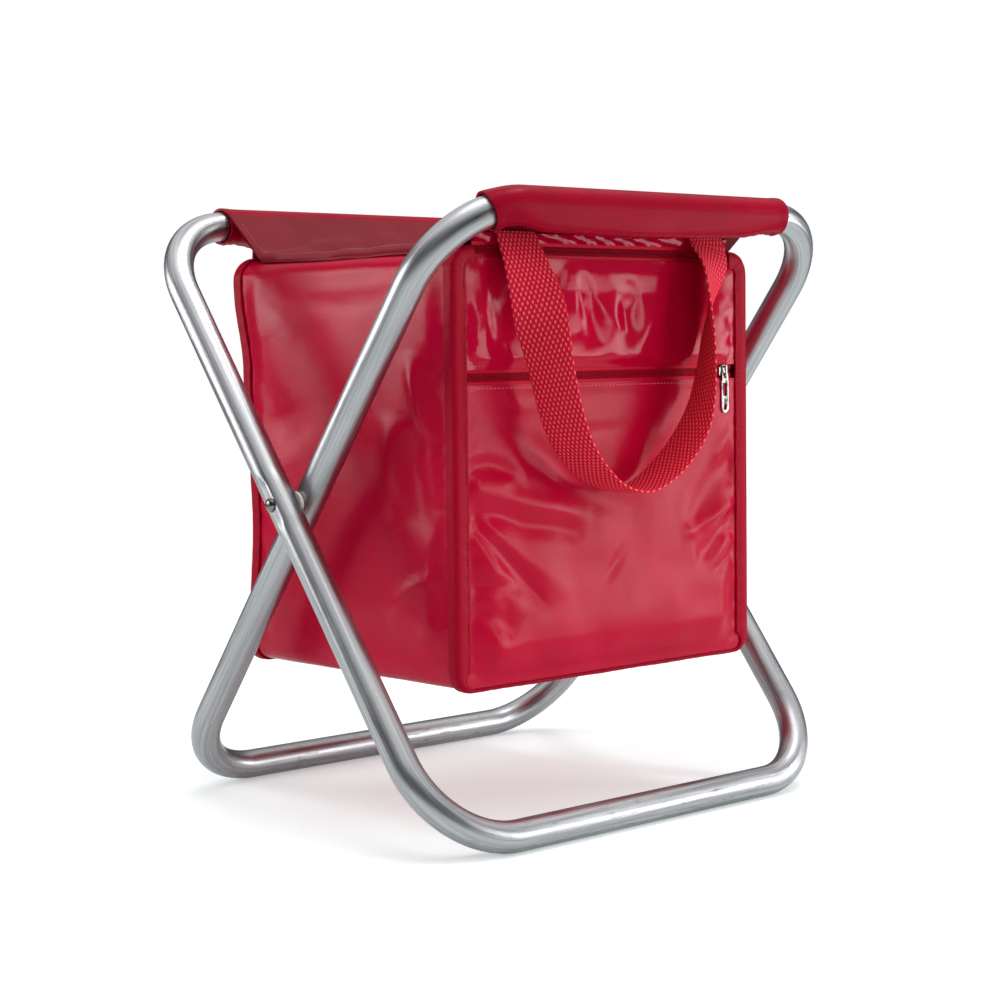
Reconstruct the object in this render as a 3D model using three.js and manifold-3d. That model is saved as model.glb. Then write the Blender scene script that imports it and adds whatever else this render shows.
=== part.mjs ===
// Folding cooler stool: two identical bent tube loops riveted as scissors, a cloth seat sewn
// round the two upper bars, and an insulated bag that hangs under the seat between the legs.
// Millimetres, +Z up. The pocket side faces -Y, X runs along the bars, Z = 0 is the floor, and
// the origin lies on the floor midway between the two foot bars.
import * as THREE from "three";
import { mergeVertices } from "three/addons/utils/BufferGeometryUtils.js";
import Module from "manifold-3d";

const wasm = await Module();
wasm.setup();

// Frame: each loop is a rounded rectangle that leans through the pivot line.
const tube_od = 19;
const loop_half_width = 165.5;
const bend_radius = 56.8;
const upper_leg = 219.4;
const lower_leg = 237.7;
const lean = THREE.MathUtils.degToRad(37.36);
const tube_facets = 16;
const bend_steps = 9;
const crossing_gap = 0.8;
const press_depth = 1.1;
const rivet_seat_depth = 0.8;
const press_length = 20;
const press_fade = 9;
const press_steps = 3;

// Rivets and the washers between the crossing tubes.
const rivet_shank = 5;
const rivet_bore = 5.6;
const rivet_head = 8.8;
const rivet_head_height = 2.4;
const rivet_tail = 7.2;
const rivet_tail_height = 1.6;
const washer_od = 14;
const round_steps = 24;

// Clearance left between pieces that touch.
const seam_gap = 0.3;

// Seat cloth and the hems that hold the seat bars.
const seat_side_inset = 4;
const seat_cloth = 1.6;
const sleeve_room = 0.7;
const hem_lobe_radius = 5;
const hem_lobe_out = 5.3;
const hem_lobe_drop = 11;
const hem_facets = 20;
const seat_flat_inset = 15.5;
const seat_drop = 23.52;
const seat_sag = 1.6;
const seat_steps = 8;

// Bag: outer sizes, cloth, foam and liner.
const bag_side_room = 19.1;
const bag_end_room = 29.64;
const bag_base = 89;
const bag_cloth = 1;
const bag_top_radius = 13;
const bag_base_radius = 11;
const bag_base_sag = 4;
const back_swell = 9;
const back_waist = 6.9;
const waist_end_share = 0.72;
const swell_turn_share = 0.62;
const foam = 4;
const liner = 0.7;
const liner_corner = 6;
const pocket_depth = 5.9;
const wall_steps = 9;
const corner_steps = 4;

// Folded tape over the front and rear seams.
const binding_leg = 10.8;
const binding_lip = 7;
const binding_cloth = 1;

// Zips: coil, tape, slider and pull.
const pocket_zip_drop = 73.8;
const main_zip_rise = 1.2;
const zip_end_inset = 11;
const main_zip_end_inset = 17;
const zip_window_half = 4.6;
const zip_set_back = 0.9;
const coil_row = 1.8;
const coil_gap = 1.6;
const coil_depth = 1.8;
const tape_width = 11;
const tape_thickness = 0.6;
const slider_length = 9;
const slider_half_height = 4.1;
const slider_tail_share = 0.62;
const slider_shoulder_share = 0.25;
const slider_plate = 1;
const slider_post = 1;
const slider_flange = 1.2;
const bail_width = 1.6;
const bail_opening = 1.6;
const bail_bar = 0.9;
const bail_half_span = 3.4;
const pull_length = 26;
const pull_width = 6.6;
const pull_thickness = 0.8;
const pull_eye_width = 5.6;
const pull_rim = 1.1;
const pull_window_share = 0.32;
const pocket_slider_inset = 9.3;
const main_slider_inset = 32;

// Webbing handles: a flat strap that hangs in a loop and turns edge on at its lowest part.
const webbing_width = 32;
const webbing_thickness = 2.2;
const handle_half_span = 83;
const handle_centre = 4.5;
const handle_drop = 158.5;
const handle_bulge = 22;
const handle_seam_room = 1.6;
const handle_steps = 36;

// Each row holds the shares of half span, bulge, drop and a quarter turn, along the strap.
const handle_route_shares = [
  [-1, 0, 0, 0],
  [-1, 0.12, 0.04, 0.02],
  [-0.995, 0.4, 0.13, 0.11],
  [-0.985, 0.7, 0.26, 0.34],
  [-0.955, 0.82, 0.39, 0.66],
  [-0.905, 0.9, 0.53, 0.84],
  [-0.85, 0.96, 0.66, 0.86],
  [-0.745, 0.97, 0.79, 0.88],
  [-0.56, 0.91, 0.895, 0.92],
  [-0.33, 0.82, 0.97, 0.98],
  [-0.06, 0.77, 1, 0.98],
  [0.2, 0.77, 0.955, 0.98],
  [0.42, 0.8, 0.87, 1.01],
  [0.58, 0.84, 0.77, 1.08],
  [0.69, 0.83, 0.65, 1.2],
  [0.765, 0.76, 0.51, 1.3],
  [0.825, 0.64, 0.375, 1.4],
  [0.885, 0.54, 0.245, 1.58],
  [0.96, 0.4, 0.12, 1.82],
  [0.998, 0.12, 0.04, 1.97],
  [1, 0, 0, 2],
];

// Worked out from the sizes above.
const tube_r = tube_od / 2;
const tube_corner_r = tube_r / Math.cos(Math.PI / tube_facets);
const pivot_height = lower_leg * Math.cos(lean) + tube_r;
const loop_shift = (tube_od + crossing_gap) / 2;
const bag_half_width = loop_half_width - loop_shift - tube_r - bag_side_room;
const seat_half_width = bag_half_width - seat_side_inset;
const seat_bar_depth = upper_leg * Math.sin(lean);
const seat_bar_height = pivot_height + upper_leg * Math.cos(lean);
const bag_half_depth = seat_bar_depth - bag_end_room;
const handle_seam_depth = bag_half_depth + handle_seam_room;
const seat_flat_half = bag_half_depth - seat_flat_inset;
const seat_flat_height = seat_bar_height - seat_drop;
const bag_side_top = seat_flat_height - seat_cloth - seam_gap;
const main_zip_height = bag_side_top + main_zip_rise;
const pocket_zip_height = bag_side_top - pocket_zip_drop;
const zip_half_length = bag_half_width - zip_end_inset;
const main_zip_half_length = bag_half_width - main_zip_end_inset;
const pocket_slider_place = zip_half_length - pocket_slider_inset;
const main_slider_place = main_slider_inset - main_zip_half_length;
const straight_half = loop_half_width - bend_radius;
const sleeve_inner_r = tube_r + sleeve_room;
const sleeve_outer_r = sleeve_inner_r + seat_cloth;
const panel_back = bag_half_depth - bag_cloth;
const gusset_half_depth = panel_back - seam_gap;
const backing_front = panel_back - pocket_depth;
const foam_face = backing_front - bag_cloth - seam_gap;
const liner_face = foam_face - foam - seam_gap;
const gusset_inner = bag_half_width - bag_cloth;
const foam_side_face = gusset_inner - seam_gap;
const liner_side_face = foam_side_face - foam - seam_gap;
const foam_base = bag_base + bag_cloth + seam_gap;
const liner_base = foam_base + foam + seam_gap;
const top_panel_base = bag_side_top - bag_cloth;
const foam_top_face = top_panel_base - seam_gap;
const liner_lid_top = foam_top_face - foam - seam_gap;
const liner_rim = liner_lid_top - liner - seam_gap;
const top_arc_height = bag_side_top - bag_top_radius;
const base_arc_height = bag_base + bag_base_radius;

// Materials.
const aluminium = new THREE.MeshStandardMaterial({ color: 0xb9bcc0, roughness: 0.35, metalness: 1 });
const steel = new THREE.MeshStandardMaterial({ color: 0xc8c6c2, roughness: 0.25, metalness: 1 });
const nylon = new THREE.MeshStandardMaterial({ color: 0xe8e6e0, roughness: 0.5 });
const red_cloth = new THREE.MeshStandardMaterial({ color: 0xb80a28, roughness: 0.4 });
const red_tape = new THREE.MeshStandardMaterial({ color: 0xa50a22, roughness: 0.6 });
const red_webbing = new THREE.MeshStandardMaterial({ color: 0xc8061c, roughness: 0.8 });
const white_foam = new THREE.MeshStandardMaterial({ color: 0xf0efe9, roughness: 0.9 });
const liner_film = new THREE.MeshStandardMaterial({ color: 0xe4e6e8, roughness: 0.3 });

const stool = new THREE.Group();

function add(name, geometry, material) {
  const piece = new THREE.Mesh(geometry, material);
  piece.name = name;
  stool.add(piece);
  return piece;
}

// A copy turned half round about Z: the rear twin of a front piece, or the right twin of a left one.
function turned(geometry) {
  return geometry.clone().rotateZ(Math.PI);
}

// Triangles of a flat closed ring, wound as the ring is.
function capTriangles(ring) {
  const normal = new THREE.Vector3();
  ring.forEach((a, i) => {
    const b = ring[(i + 1) % ring.length];
    normal.add(new THREE.Vector3().crossVectors(a, b));
  });
  normal.normalize();
  const across = ring[1].clone().sub(ring[0]).normalize();
  const up = new THREE.Vector3().crossVectors(normal, across);
  const flat = ring.map((p) => new THREE.Vector2(p.dot(across), p.dot(up)));
  return THREE.ShapeUtils.triangulateShape(flat, []);
}

// A closed skin through rings of equal count. A closed skin joins its last ring to its first.
function skin(rings, closed = false) {
  const count = rings[0].length;
  const points = rings.flat();
  const faces = [];
  const spans = closed ? rings.length : rings.length - 1;
  for (let i = 0; i < spans; i++) {
    const a = i * count;
    const b = ((i + 1) % rings.length) * count;
    for (let j = 0; j < count; j++) {
      const k = (j + 1) % count;
      faces.push([a + j, a + k, b + k], [a + j, b + k, b + j]);
    }
  }
  if (!closed) {
    const last = (rings.length - 1) * count;
    capTriangles(rings[0]).forEach(([a, b, c]) => faces.push([c, b, a]));
    capTriangles(rings[rings.length - 1]).forEach(([a, b, c]) => faces.push([last + a, last + b, last + c]));
  }
  let volume = 0;
  faces.forEach(([a, b, c]) => {
    volume += points[a].dot(new THREE.Vector3().crossVectors(points[b], points[c]));
  });
  const index = faces.flatMap(([a, b, c]) => (volume < 0 ? [c, b, a] : [a, b, c]));
  const geometry = new THREE.BufferGeometry();
  geometry.setAttribute("position", new THREE.Float32BufferAttribute(points.flatMap((p) => p.toArray()), 3));
  geometry.setIndex(index);
  const faceted = geometry.toNonIndexed();
  faceted.computeVertexNormals();
  return faceted;
}

function solid(geometry) {
  const plain = geometry.clone();
  plain.deleteAttribute("normal");
  plain.deleteAttribute("uv");
  const merged = mergeVertices(plain);
  const vertProperties = merged.attributes.position.array;
  const triVerts = new Uint32Array(merged.index.array);
  return new wasm.Manifold(new wasm.Mesh({ numProp: 3, vertProperties, triVerts }));
}

function geometryOf(manifold) {
  const { vertProperties, triVerts } = manifold.getMesh();
  const geometry = new THREE.BufferGeometry();
  geometry.setAttribute("position", new THREE.BufferAttribute(vertProperties, 3));
  geometry.setIndex(new THREE.BufferAttribute(triVerts, 1));
  const faceted = geometry.toNonIndexed();
  faceted.computeVertexNormals();
  return faceted;
}

function cut(geometry, ...tools) {
  return geometryOf(tools.reduce((body, tool) => body.subtract(solid(tool)), solid(geometry)));
}

function join(...geometries) {
  return geometryOf(geometries.map(solid).reduce((body, next) => body.add(next)));
}

// A bar with a YZ outline, from one X to another.
function barX(outline, x0, x1) {
  return skin([x0, x1].map((x) => outline.map(([y, z]) => new THREE.Vector3(x, y, z))));
}

// A sheet with an XZ outline, from its front Y to its back Y.
function sheetY(shape, front, back) {
  const depth = back - front;
  const sheet = new THREE.ExtrudeGeometry(shape, { depth, bevelEnabled: false, curveSegments: corner_steps });
  return sheet.rotateX(Math.PI / 2).translate(0, back, 0);
}

function block(x0, x1, y0, y1, z0, z1) {
  const box = new THREE.BoxGeometry(x1 - x0, y1 - y0, z1 - z0);
  return box.translate((x0 + x1) / 2, (y0 + y1) / 2, (z0 + z1) / 2);
}

// Rounded rectangle with its own radius at the base and at the top.
function roundedShape(x0, x1, z0, z1, baseRadius, topRadius) {
  const shape = new THREE.Shape();
  shape.moveTo(x0 + baseRadius, z0);
  shape.lineTo(x1 - baseRadius, z0);
  if (baseRadius > 0) shape.absarc(x1 - baseRadius, z0 + baseRadius, baseRadius, -Math.PI / 2, 0);
  shape.lineTo(x1, z1 - topRadius);
  if (topRadius > 0) shape.absarc(x1 - topRadius, z1 - topRadius, topRadius, 0, Math.PI / 2);
  shape.lineTo(x0 + topRadius, z1);
  if (topRadius > 0) shape.absarc(x0 + topRadius, z1 - topRadius, topRadius, Math.PI / 2, Math.PI);
  shape.lineTo(x0, z0 + baseRadius);
  if (baseRadius > 0) shape.absarc(x0 + baseRadius, z0 + baseRadius, baseRadius, Math.PI, 1.5 * Math.PI);
  return shape;
}

// The front leg loop. Its own axes are X, the leg direction and the normal of its plane.
const leg_direction = new THREE.Vector3(0, Math.sin(lean), Math.cos(lean));
const plane_normal = new THREE.Vector3(0, -Math.cos(lean), Math.sin(lean));

function onLoop(x, along, off) {
  const point = new THREE.Vector3(x - loop_shift, 0, pivot_height);
  return point.addScaledVector(leg_direction, along).addScaledVector(plane_normal, off);
}

// Full in the pressed length and smoothly gone at the end of the fade.
function pressShare(along) {
  const beyond = Math.max(0, Math.abs(along) - press_length / 2) / press_fade;
  return 1 - THREE.MathUtils.smoothstep(beyond, 0, 1);
}

// One faceted ring of the tube, with a facet that faces the floor under the foot bar.
function tubeRing({ x, along, turn }) {
  const ring = [];
  const share = Math.abs(Math.cos(turn)) === 1 ? pressShare(along) : 0;
  const flat_side = tube_corner_r - (tube_corner_r - tube_r + press_depth) * share;
  const rivet_side = tube_corner_r - (tube_corner_r - tube_r + rivet_seat_depth) * share;
  for (let k = 0; k < tube_facets; k++) {
    const angle = ((k + 0.5) * 2 * Math.PI) / tube_facets - lean;
    const out = tube_corner_r * Math.cos(angle);
    const sideways = THREE.MathUtils.clamp(out * Math.cos(turn), -rivet_side, flat_side);
    ring.push(onLoop(x + sideways, along + out * Math.sin(turn), tube_corner_r * Math.sin(angle)));
  }
  return ring;
}

function loopStations() {
  const stations = [];
  const half = press_length / 2;
  const rise = [-half, 0, half];
  for (let i = 1; i <= press_steps; i++) {
    const at = half + (press_fade * i) / press_steps;
    rise.push(at);
    rise.unshift(-at);
  }
  const bend = (x, along, start) => {
    for (let i = 0; i <= bend_steps; i++) {
      const turn = start + (i / bend_steps) * (Math.PI / 2);
      const round = along + bend_radius * Math.sin(turn);
      stations.push({ x: x + bend_radius * Math.cos(turn), along: round, turn });
    }
  };
  rise.forEach((along) => stations.push({ x: loop_half_width, along, turn: 0 }));
  bend(straight_half, upper_leg - bend_radius, 0);
  bend(-straight_half, upper_leg - bend_radius, Math.PI / 2);
  rise.reverse().forEach((along) => stations.push({ x: -loop_half_width, along, turn: Math.PI }));
  bend(-straight_half, bend_radius - lower_leg, Math.PI);
  bend(straight_half, bend_radius - lower_leg, 1.5 * Math.PI);
  return stations;
}

const bore_length = 2 * (loop_half_width + tube_od);
const pivot_bore = new THREE.CylinderGeometry(rivet_bore / 2, rivet_bore / 2, bore_length, round_steps);
pivot_bore.rotateZ(Math.PI / 2).translate(0, 0, pivot_height);
const leg_loop = cut(skin(loopStations().map(tubeRing), true), pivot_bore);
add("front_leg_loop", leg_loop, aluminium);
add("rear_leg_loop", turned(leg_loop), aluminium);

// Rivet at the left crossing: domed head on the outer tube, formed tail on the inner tube.
const outer_face = -loop_half_width - loop_shift - tube_r + rivet_seat_depth;
const inner_face = -loop_half_width + loop_shift + tube_r - rivet_seat_depth;
const rivet_grip = inner_face - outer_face + 2 * seam_gap;

function rivetGeometry() {
  const dome_steps = 6;
  const profile = [];
  for (let i = 0; i <= dome_steps; i++) {
    const turn = (i / dome_steps) * (Math.PI / 2);
    const r = (rivet_head / 2) * Math.sin(turn);
    profile.push(new THREE.Vector2(r, -rivet_head_height * Math.cos(turn)));
  }
  const tail_chamfer = rivet_tail_height / 3;
  profile.push(new THREE.Vector2(rivet_shank / 2, 0));
  profile.push(new THREE.Vector2(rivet_shank / 2, rivet_grip));
  profile.push(new THREE.Vector2(rivet_tail / 2, rivet_grip));
  profile.push(new THREE.Vector2(rivet_tail / 2, rivet_grip + rivet_tail_height - tail_chamfer));
  profile.push(new THREE.Vector2(rivet_tail / 2 - tail_chamfer, rivet_grip + rivet_tail_height));
  profile.push(new THREE.Vector2(0, rivet_grip + rivet_tail_height));
  const rivet = new THREE.LatheGeometry(profile, round_steps);
  return rivet.rotateZ(-Math.PI / 2).translate(outer_face - seam_gap, 0, pivot_height);
}

const rivet = rivetGeometry();
add("pivot_rivet_left", rivet, steel);
add("pivot_rivet_right", turned(rivet), steel);

const washer_space = crossing_gap + 2 * press_depth;
const washer_half = washer_space / 2 - seam_gap;
const washer_profile = [
  [rivet_bore / 2, -washer_half],
  [washer_od / 2, -washer_half],
  [washer_od / 2, washer_half],
  [rivet_bore / 2, washer_half],
  [rivet_bore / 2, -washer_half],
].map(([r, h]) => new THREE.Vector2(r, h));
const washer = new THREE.LatheGeometry(washer_profile, round_steps);
washer.rotateZ(-Math.PI / 2).translate(-loop_half_width, 0, pivot_height);
add("pivot_washer_left", washer, nylon);
add("pivot_washer_right", turned(washer), nylon);

// The rear seat bar's middle line at a place across the stool. It bends down past its straight.
function seatBar(x) {
  const local = x + loop_shift;
  const past = Math.max(0, Math.abs(local) - straight_half);
  const turn = Math.asin(past / bend_radius) * Math.sign(local);
  return { x: local, along: upper_leg - bend_radius * (1 - Math.cos(turn)), turn };
}

function seatBarCentre(x) {
  const { x: local, along } = seatBar(x);
  return onLoop(local, along, 0);
}

// Outline round two circles: the tube's wrap and the slack lobe of the hem that hangs outside it.
function hemRing(x, wrap, lobe) {
  const bar = seatBar(x);
  const ring = [];
  for (let k = 0; k < hem_facets; k++) {
    const angle = (k * 2 * Math.PI) / hem_facets;
    const aim_y = Math.cos(angle);
    const aim_z = Math.sin(angle);
    const lobe_reach = hem_lobe_out * aim_y - hem_lobe_drop * aim_z + lobe;
    const on_lobe = lobe_reach > wrap;
    const y = on_lobe ? hem_lobe_out + lobe * aim_y : wrap * aim_y;
    const z = on_lobe ? -hem_lobe_drop + lobe * aim_z : wrap * aim_z;
    const out = y * leg_direction.y + z * leg_direction.z;
    const off = y * plane_normal.y + z * plane_normal.z;
    ring.push(onLoop(bar.x + out * Math.sin(bar.turn), bar.along + out * Math.cos(bar.turn), off));
  }
  return ring;
}

function hemStations() {
  const left_straight = -straight_half - loop_shift;
  const right_straight = straight_half - loop_shift;
  const stations = [-seat_half_width, left_straight];
  const spans = 4;
  for (let i = 1; i <= spans; i++) {
    stations.push(left_straight + (right_straight - left_straight) * (i / spans));
  }
  for (let i = 1; i <= spans; i++) {
    stations.push(right_straight + (seat_half_width - right_straight) * (i / spans));
  }
  return stations;
}

const hem_places = hemStations();
const hem_outside = hem_places.map((x) => hemRing(x, sleeve_outer_r, hem_lobe_radius));
const hem_inside = hem_places.map((x) => hemRing(x, sleeve_inner_r, hem_lobe_radius - seat_cloth));
const hem_sleeve = skin([...hem_outside, ...hem_inside.reverse()], true);
add("rear_hem_sleeve", hem_sleeve, red_cloth);
add("front_hem_sleeve", turned(hem_sleeve), red_cloth);

// Height of the seat's upper face over the bag, at a place along Y.
function seatFlat(y) {
  return seat_flat_height + seat_sag * (y / seat_flat_half) ** 2;
}

// Where the cloth that rises from the flat part meets the hem: its end on both faces.
function seatRise(centre) {
  const corner = new THREE.Vector2(seat_flat_half, seatFlat(seat_flat_half));
  const to_bar = new THREE.Vector2(Math.abs(centre.y), centre.z).sub(corner);
  const reach = to_bar.length();
  const climb = to_bar.angle() + Math.asin(sleeve_outer_r / reach);
  const run = Math.sqrt(reach ** 2 - sleeve_outer_r ** 2);
  const stand_off = sleeve_outer_r + seam_gap;
  const top_end = run - Math.sqrt(stand_off ** 2 - sleeve_outer_r ** 2);
  const low_end = run - Math.sqrt(stand_off ** 2 - (sleeve_outer_r - seat_cloth) ** 2);
  const along = new THREE.Vector2(Math.cos(climb), Math.sin(climb));
  const under = new THREE.Vector2(Math.sin(climb), -Math.cos(climb)).multiplyScalar(seat_cloth);
  const top = corner.clone().addScaledVector(along, top_end);
  const low = corner.clone().addScaledVector(along, low_end).add(under);
  return { climb, top, low };
}

function seatSection(x) {
  const rear = seatRise(seatBarCentre(x));
  const front = seatRise(seatBarCentre(-x));
  const upper = [[-front.top.x, front.top.y]];
  const lower = [[-front.low.x, front.low.y]];
  for (let i = 0; i <= seat_steps; i++) {
    const y = seat_flat_half * ((2 * i) / seat_steps - 1);
    upper.push([y, seatFlat(y)]);
    lower.push([y, seatFlat(y) - seat_cloth]);
  }
  upper.push([rear.top.x, rear.top.y]);
  lower.push([rear.low.x, rear.low.y]);
  return [...upper, ...lower.reverse()].map(([y, z]) => new THREE.Vector3(x, y, z));
}

function seatSections(places) {
  const apart = tube_r / 2;
  const kept = places.filter((x, i) => i === 0 || i === places.length - 1 || x - places[i - 1] > apart);
  return kept.map(seatSection);
}

const seat_places = [...new Set([...hem_places, ...hem_places.map((x) => -x)])].sort((a, b) => a - b);
add("seat_panel", skin(seatSections(seat_places)), red_cloth);

// Underside of the seat where it rises in front of the bag.
const rise_over_bag = seatRise(seatBarCentre(0));
function seatUnderside(y) {
  const beyond = Math.max(0, y - seat_flat_half);
  const flat = Math.min(y, seat_flat_half);
  return seatFlat(flat) + beyond * Math.tan(rise_over_bag.climb) - seat_cloth / Math.cos(rise_over_bag.climb);
}

// The bag's back stands out near its top and draws in at its waist.
function backShift(height) {
  const share = (height - bag_base) / (bag_side_top - bag_base);
  const waist = -back_waist * Math.sin(Math.PI * THREE.MathUtils.clamp(share / waist_end_share, 0, 1)) ** 2;
  const above = THREE.MathUtils.clamp((share - waist_end_share) / (1 - waist_end_share), 0, 1);
  return waist + back_swell * Math.sin(Math.PI * swell_turn_share * above) ** 2;
}

// Outline of the gusset from one curled top end, down, under the bag and up to the other end.
function gussetOutline(inset, sag) {
  const half = [];
  const side = bag_half_width - inset;
  for (let i = 0; i <= corner_steps; i++) {
    const turn = (Math.PI / 2) * (1 - i / corner_steps);
    const r = bag_top_radius - inset;
    half.push([bag_half_width - bag_top_radius + r * Math.cos(turn), top_arc_height + r * Math.sin(turn)]);
  }
  for (let i = 1; i < wall_steps; i++) {
    half.push([side, top_arc_height + (base_arc_height - top_arc_height) * (i / wall_steps)]);
  }
  for (let i = 0; i <= corner_steps; i++) {
    const turn = (Math.PI / 2) * (i / corner_steps);
    const r = bag_base_radius - inset;
    const x = bag_half_width - bag_base_radius + r * Math.cos(turn);
    half.push([x, base_arc_height - r * Math.sin(turn)]);
  }
  half.push([bag_half_width / 3, bag_base + inset - sag]);
  const other = half.map(([x, z]) => [-x, z]).reverse();
  return [...half, ...other];
}

const gusset_shares = [-1, -0.93, -0.6, -0.3, 0, 0.3, 0.6, 0.93, 1];
const gusset_sag = (share) => bag_base_sag * (1 - share ** 2) ** 2;
const gusset_outside = gusset_shares.map((share) => gussetOutline(0, gusset_sag(share)));
const gusset_inside = gusset_shares.map((share) => gussetOutline(bag_cloth, gusset_sag(share)));

function gussetPoint([x, z], share) {
  const shift = Math.max(0, share) * backShift(z);
  return new THREE.Vector3(x, gusset_half_depth * share + shift, z);
}

const gusset_rings = gusset_outside[0].map((_, i) => {
  const outer = gusset_shares.map((share, s) => gussetPoint(gusset_outside[s][i], share));
  const inner = gusset_shares.map((share, s) => gussetPoint(gusset_inside[s][i], share));
  return [...outer, ...inner.reverse()];
});
add("bag_gusset", skin(gusset_rings), red_cloth);

const back_rings = gussetOutline(0, 0)
  .slice(0, wall_steps + 2 * corner_steps + 1)
  .map(([x, z]) => {
    const inner = panel_back + backShift(z);
    const outer = bag_half_depth + backShift(z);
    return [[-x, inner], [x, inner], [x, outer], [-x, outer]].map(([a, b]) => new THREE.Vector3(a, b, z));
  });
add("bag_back_panel", skin(back_rings), red_cloth);

// Front: a full sheet behind, and over it the upper panel and the pocket with the zip between.
const upper_top = main_zip_height - zip_window_half;
const upper_corner = bag_top_radius - (bag_side_top - upper_top);
const upper_base = pocket_zip_height + zip_window_half;
const upper_shape = roundedShape(-bag_half_width, bag_half_width, upper_base, upper_top, 0, upper_corner);
add("bag_front_upper", sheetY(upper_shape, -bag_half_depth, -panel_back), red_cloth);
const pocket_top = pocket_zip_height - zip_window_half;
const pocket_shape = roundedShape(-bag_half_width, bag_half_width, bag_base, pocket_top, bag_base_radius, 0);
add("bag_pocket_panel", sheetY(pocket_shape, -bag_half_depth, -panel_back), red_cloth);

const inner_base_radius = bag_base_radius - bag_cloth - seam_gap;
const inner_top_radius = bag_top_radius - bag_cloth - seam_gap;
const wall_shape = roundedShape(
  -foam_side_face,
  foam_side_face,
  foam_base,
  foam_top_face,
  inner_base_radius,
  inner_top_radius,
);
add("bag_front_backing", sheetY(wall_shape, -backing_front, bag_cloth - backing_front), red_cloth);

// Insulation: one foam sheet for each side of the box.
add("foam_front", sheetY(wall_shape, -foam_face, foam - foam_face), white_foam);
add("foam_back", sheetY(wall_shape, foam_face - foam, foam_face), white_foam);
const foam_side_low = base_arc_height + seam_gap;
const foam_side_high = top_arc_height - seam_gap;
const foam_side_inner = foam_side_face - foam;
const foam_left = block(
  -foam_side_face,
  -foam_side_inner,
  -liner_face,
  liner_face,
  foam_side_low,
  foam_side_high,
);
add("foam_left", foam_left, white_foam);
add("foam_right", turned(foam_left), white_foam);
const foam_base_half = bag_half_width - bag_base_radius;
const foam_base_top = foam_base + foam;
const foam_bottom = block(
  -foam_base_half,
  foam_base_half,
  -liner_face,
  liner_face,
  foam_base,
  foam_base_top,
);
add("foam_bottom", foam_bottom, white_foam);
const lid_half = bag_half_width - bag_top_radius;
const foam_top = block(-lid_half, lid_half, -liner_face, liner_face, foam_top_face - foam, foam_top_face);
add("foam_top", foam_top, white_foam);

// Liner: a heat-sealed tub, and its lid under the top foam.
function tubBlock(inset, low, high) {
  const shape = roundedShape(
    inset - liner_side_face,
    liner_side_face - inset,
    inset - liner_face,
    liner_face - inset,
    liner_corner - inset,
    liner_corner - inset,
  );
  const depth = high - low;
  const tub = new THREE.ExtrudeGeometry(shape, { depth, bevelEnabled: false, curveSegments: corner_steps });
  return tub.translate(0, 0, low);
}
const rim_overrun = liner;
const liner_inside = tubBlock(liner, liner_base + liner, liner_rim + rim_overrun);
add("liner_tub", cut(tubBlock(0, liner_base, liner_rim), liner_inside), liner_film);
add("liner_lid", tubBlock(0, liner_lid_top - liner, liner_lid_top), liner_film);

// Top of the bag under the seat, and the strips that join its front and back edges to the seat.
const top_panel_half = lid_half - seam_gap;
const top_panel_depth = backing_front + bag_cloth;
const top_panel = block(
  -top_panel_half,
  top_panel_half,
  -top_panel_depth,
  top_panel_depth,
  top_panel_base,
  bag_side_top,
);
add("bag_top_panel", top_panel, red_cloth);
const strip_top = seatUnderside(panel_back) - seam_gap;
const strip_shape = roundedShape(
  -main_zip_half_length,
  main_zip_half_length,
  main_zip_height + zip_window_half,
  strip_top,
  0,
  0,
);
add("bag_top_strip", sheetY(strip_shape, -bag_half_depth, -panel_back), red_cloth);
const back_top_shift = backShift(bag_side_top);
const back_strip_top = seatUnderside(panel_back + back_top_shift) - seam_gap;
const back_strip_base = bag_side_top + seam_gap;
const back_strip_shape = roundedShape(-lid_half, lid_half, back_strip_base, back_strip_top, 0, 0);
const back_strip = sheetY(back_strip_shape, panel_back + back_top_shift, bag_half_depth + back_top_shift);
add("bag_back_strip", back_strip, red_cloth);

// Folded tape: a face leg over the panel and a lip round the gusset, swept down one side,
// under the bag and up the other side.
function bindingStations() {
  const outline = gussetOutline(0, 0);
  const side_count = wall_steps + 2 * corner_steps + 1;
  const half = outline.slice(0, side_count).map(([x, z], i) => {
    let turn = 0;
    if (i <= corner_steps) turn = (Math.PI / 2) * (1 - i / corner_steps);
    const into_base = i - (corner_steps + wall_steps);
    if (into_base > 0) turn = -(Math.PI / 2) * (into_base / corner_steps);
    return { x, z, turn };
  });
  const other = half.map(({ x, z, turn }) => ({ x: -x, z, turn: Math.PI - turn })).reverse();
  return [...half, ...other];
}

function bindingGeometry(side, shiftAt) {
  const lip_inner = seam_gap;
  const lip_outer = seam_gap + binding_cloth;
  const face_front = -seam_gap - binding_cloth;
  const face_inner = lip_outer - binding_leg;
  const section = [
    [face_inner, face_front],
    [lip_outer, face_front],
    [lip_outer, binding_lip],
    [lip_inner, binding_lip],
    [lip_inner, -seam_gap],
    [face_inner, -seam_gap],
  ];
  const rings = bindingStations().map(({ x, z, turn }) =>
    section.map(([out, deep]) => {
      const px = x + out * Math.cos(turn);
      const pz = z + out * Math.sin(turn);
      return new THREE.Vector3(px, side * (bag_half_depth - deep + shiftAt(pz)), pz);
    }),
  );
  return skin(rings);
}
add("front_binding", bindingGeometry(-1, () => 0), red_tape);
add("rear_binding", bindingGeometry(1, backShift), red_tape);

// Zips: two tapes with their coils side by side, and a slider whose post runs between them.
const coil_front = bag_half_depth - zip_set_back;
const coil_back = coil_front - coil_depth;
const tape_front = coil_back + tape_thickness;

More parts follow.
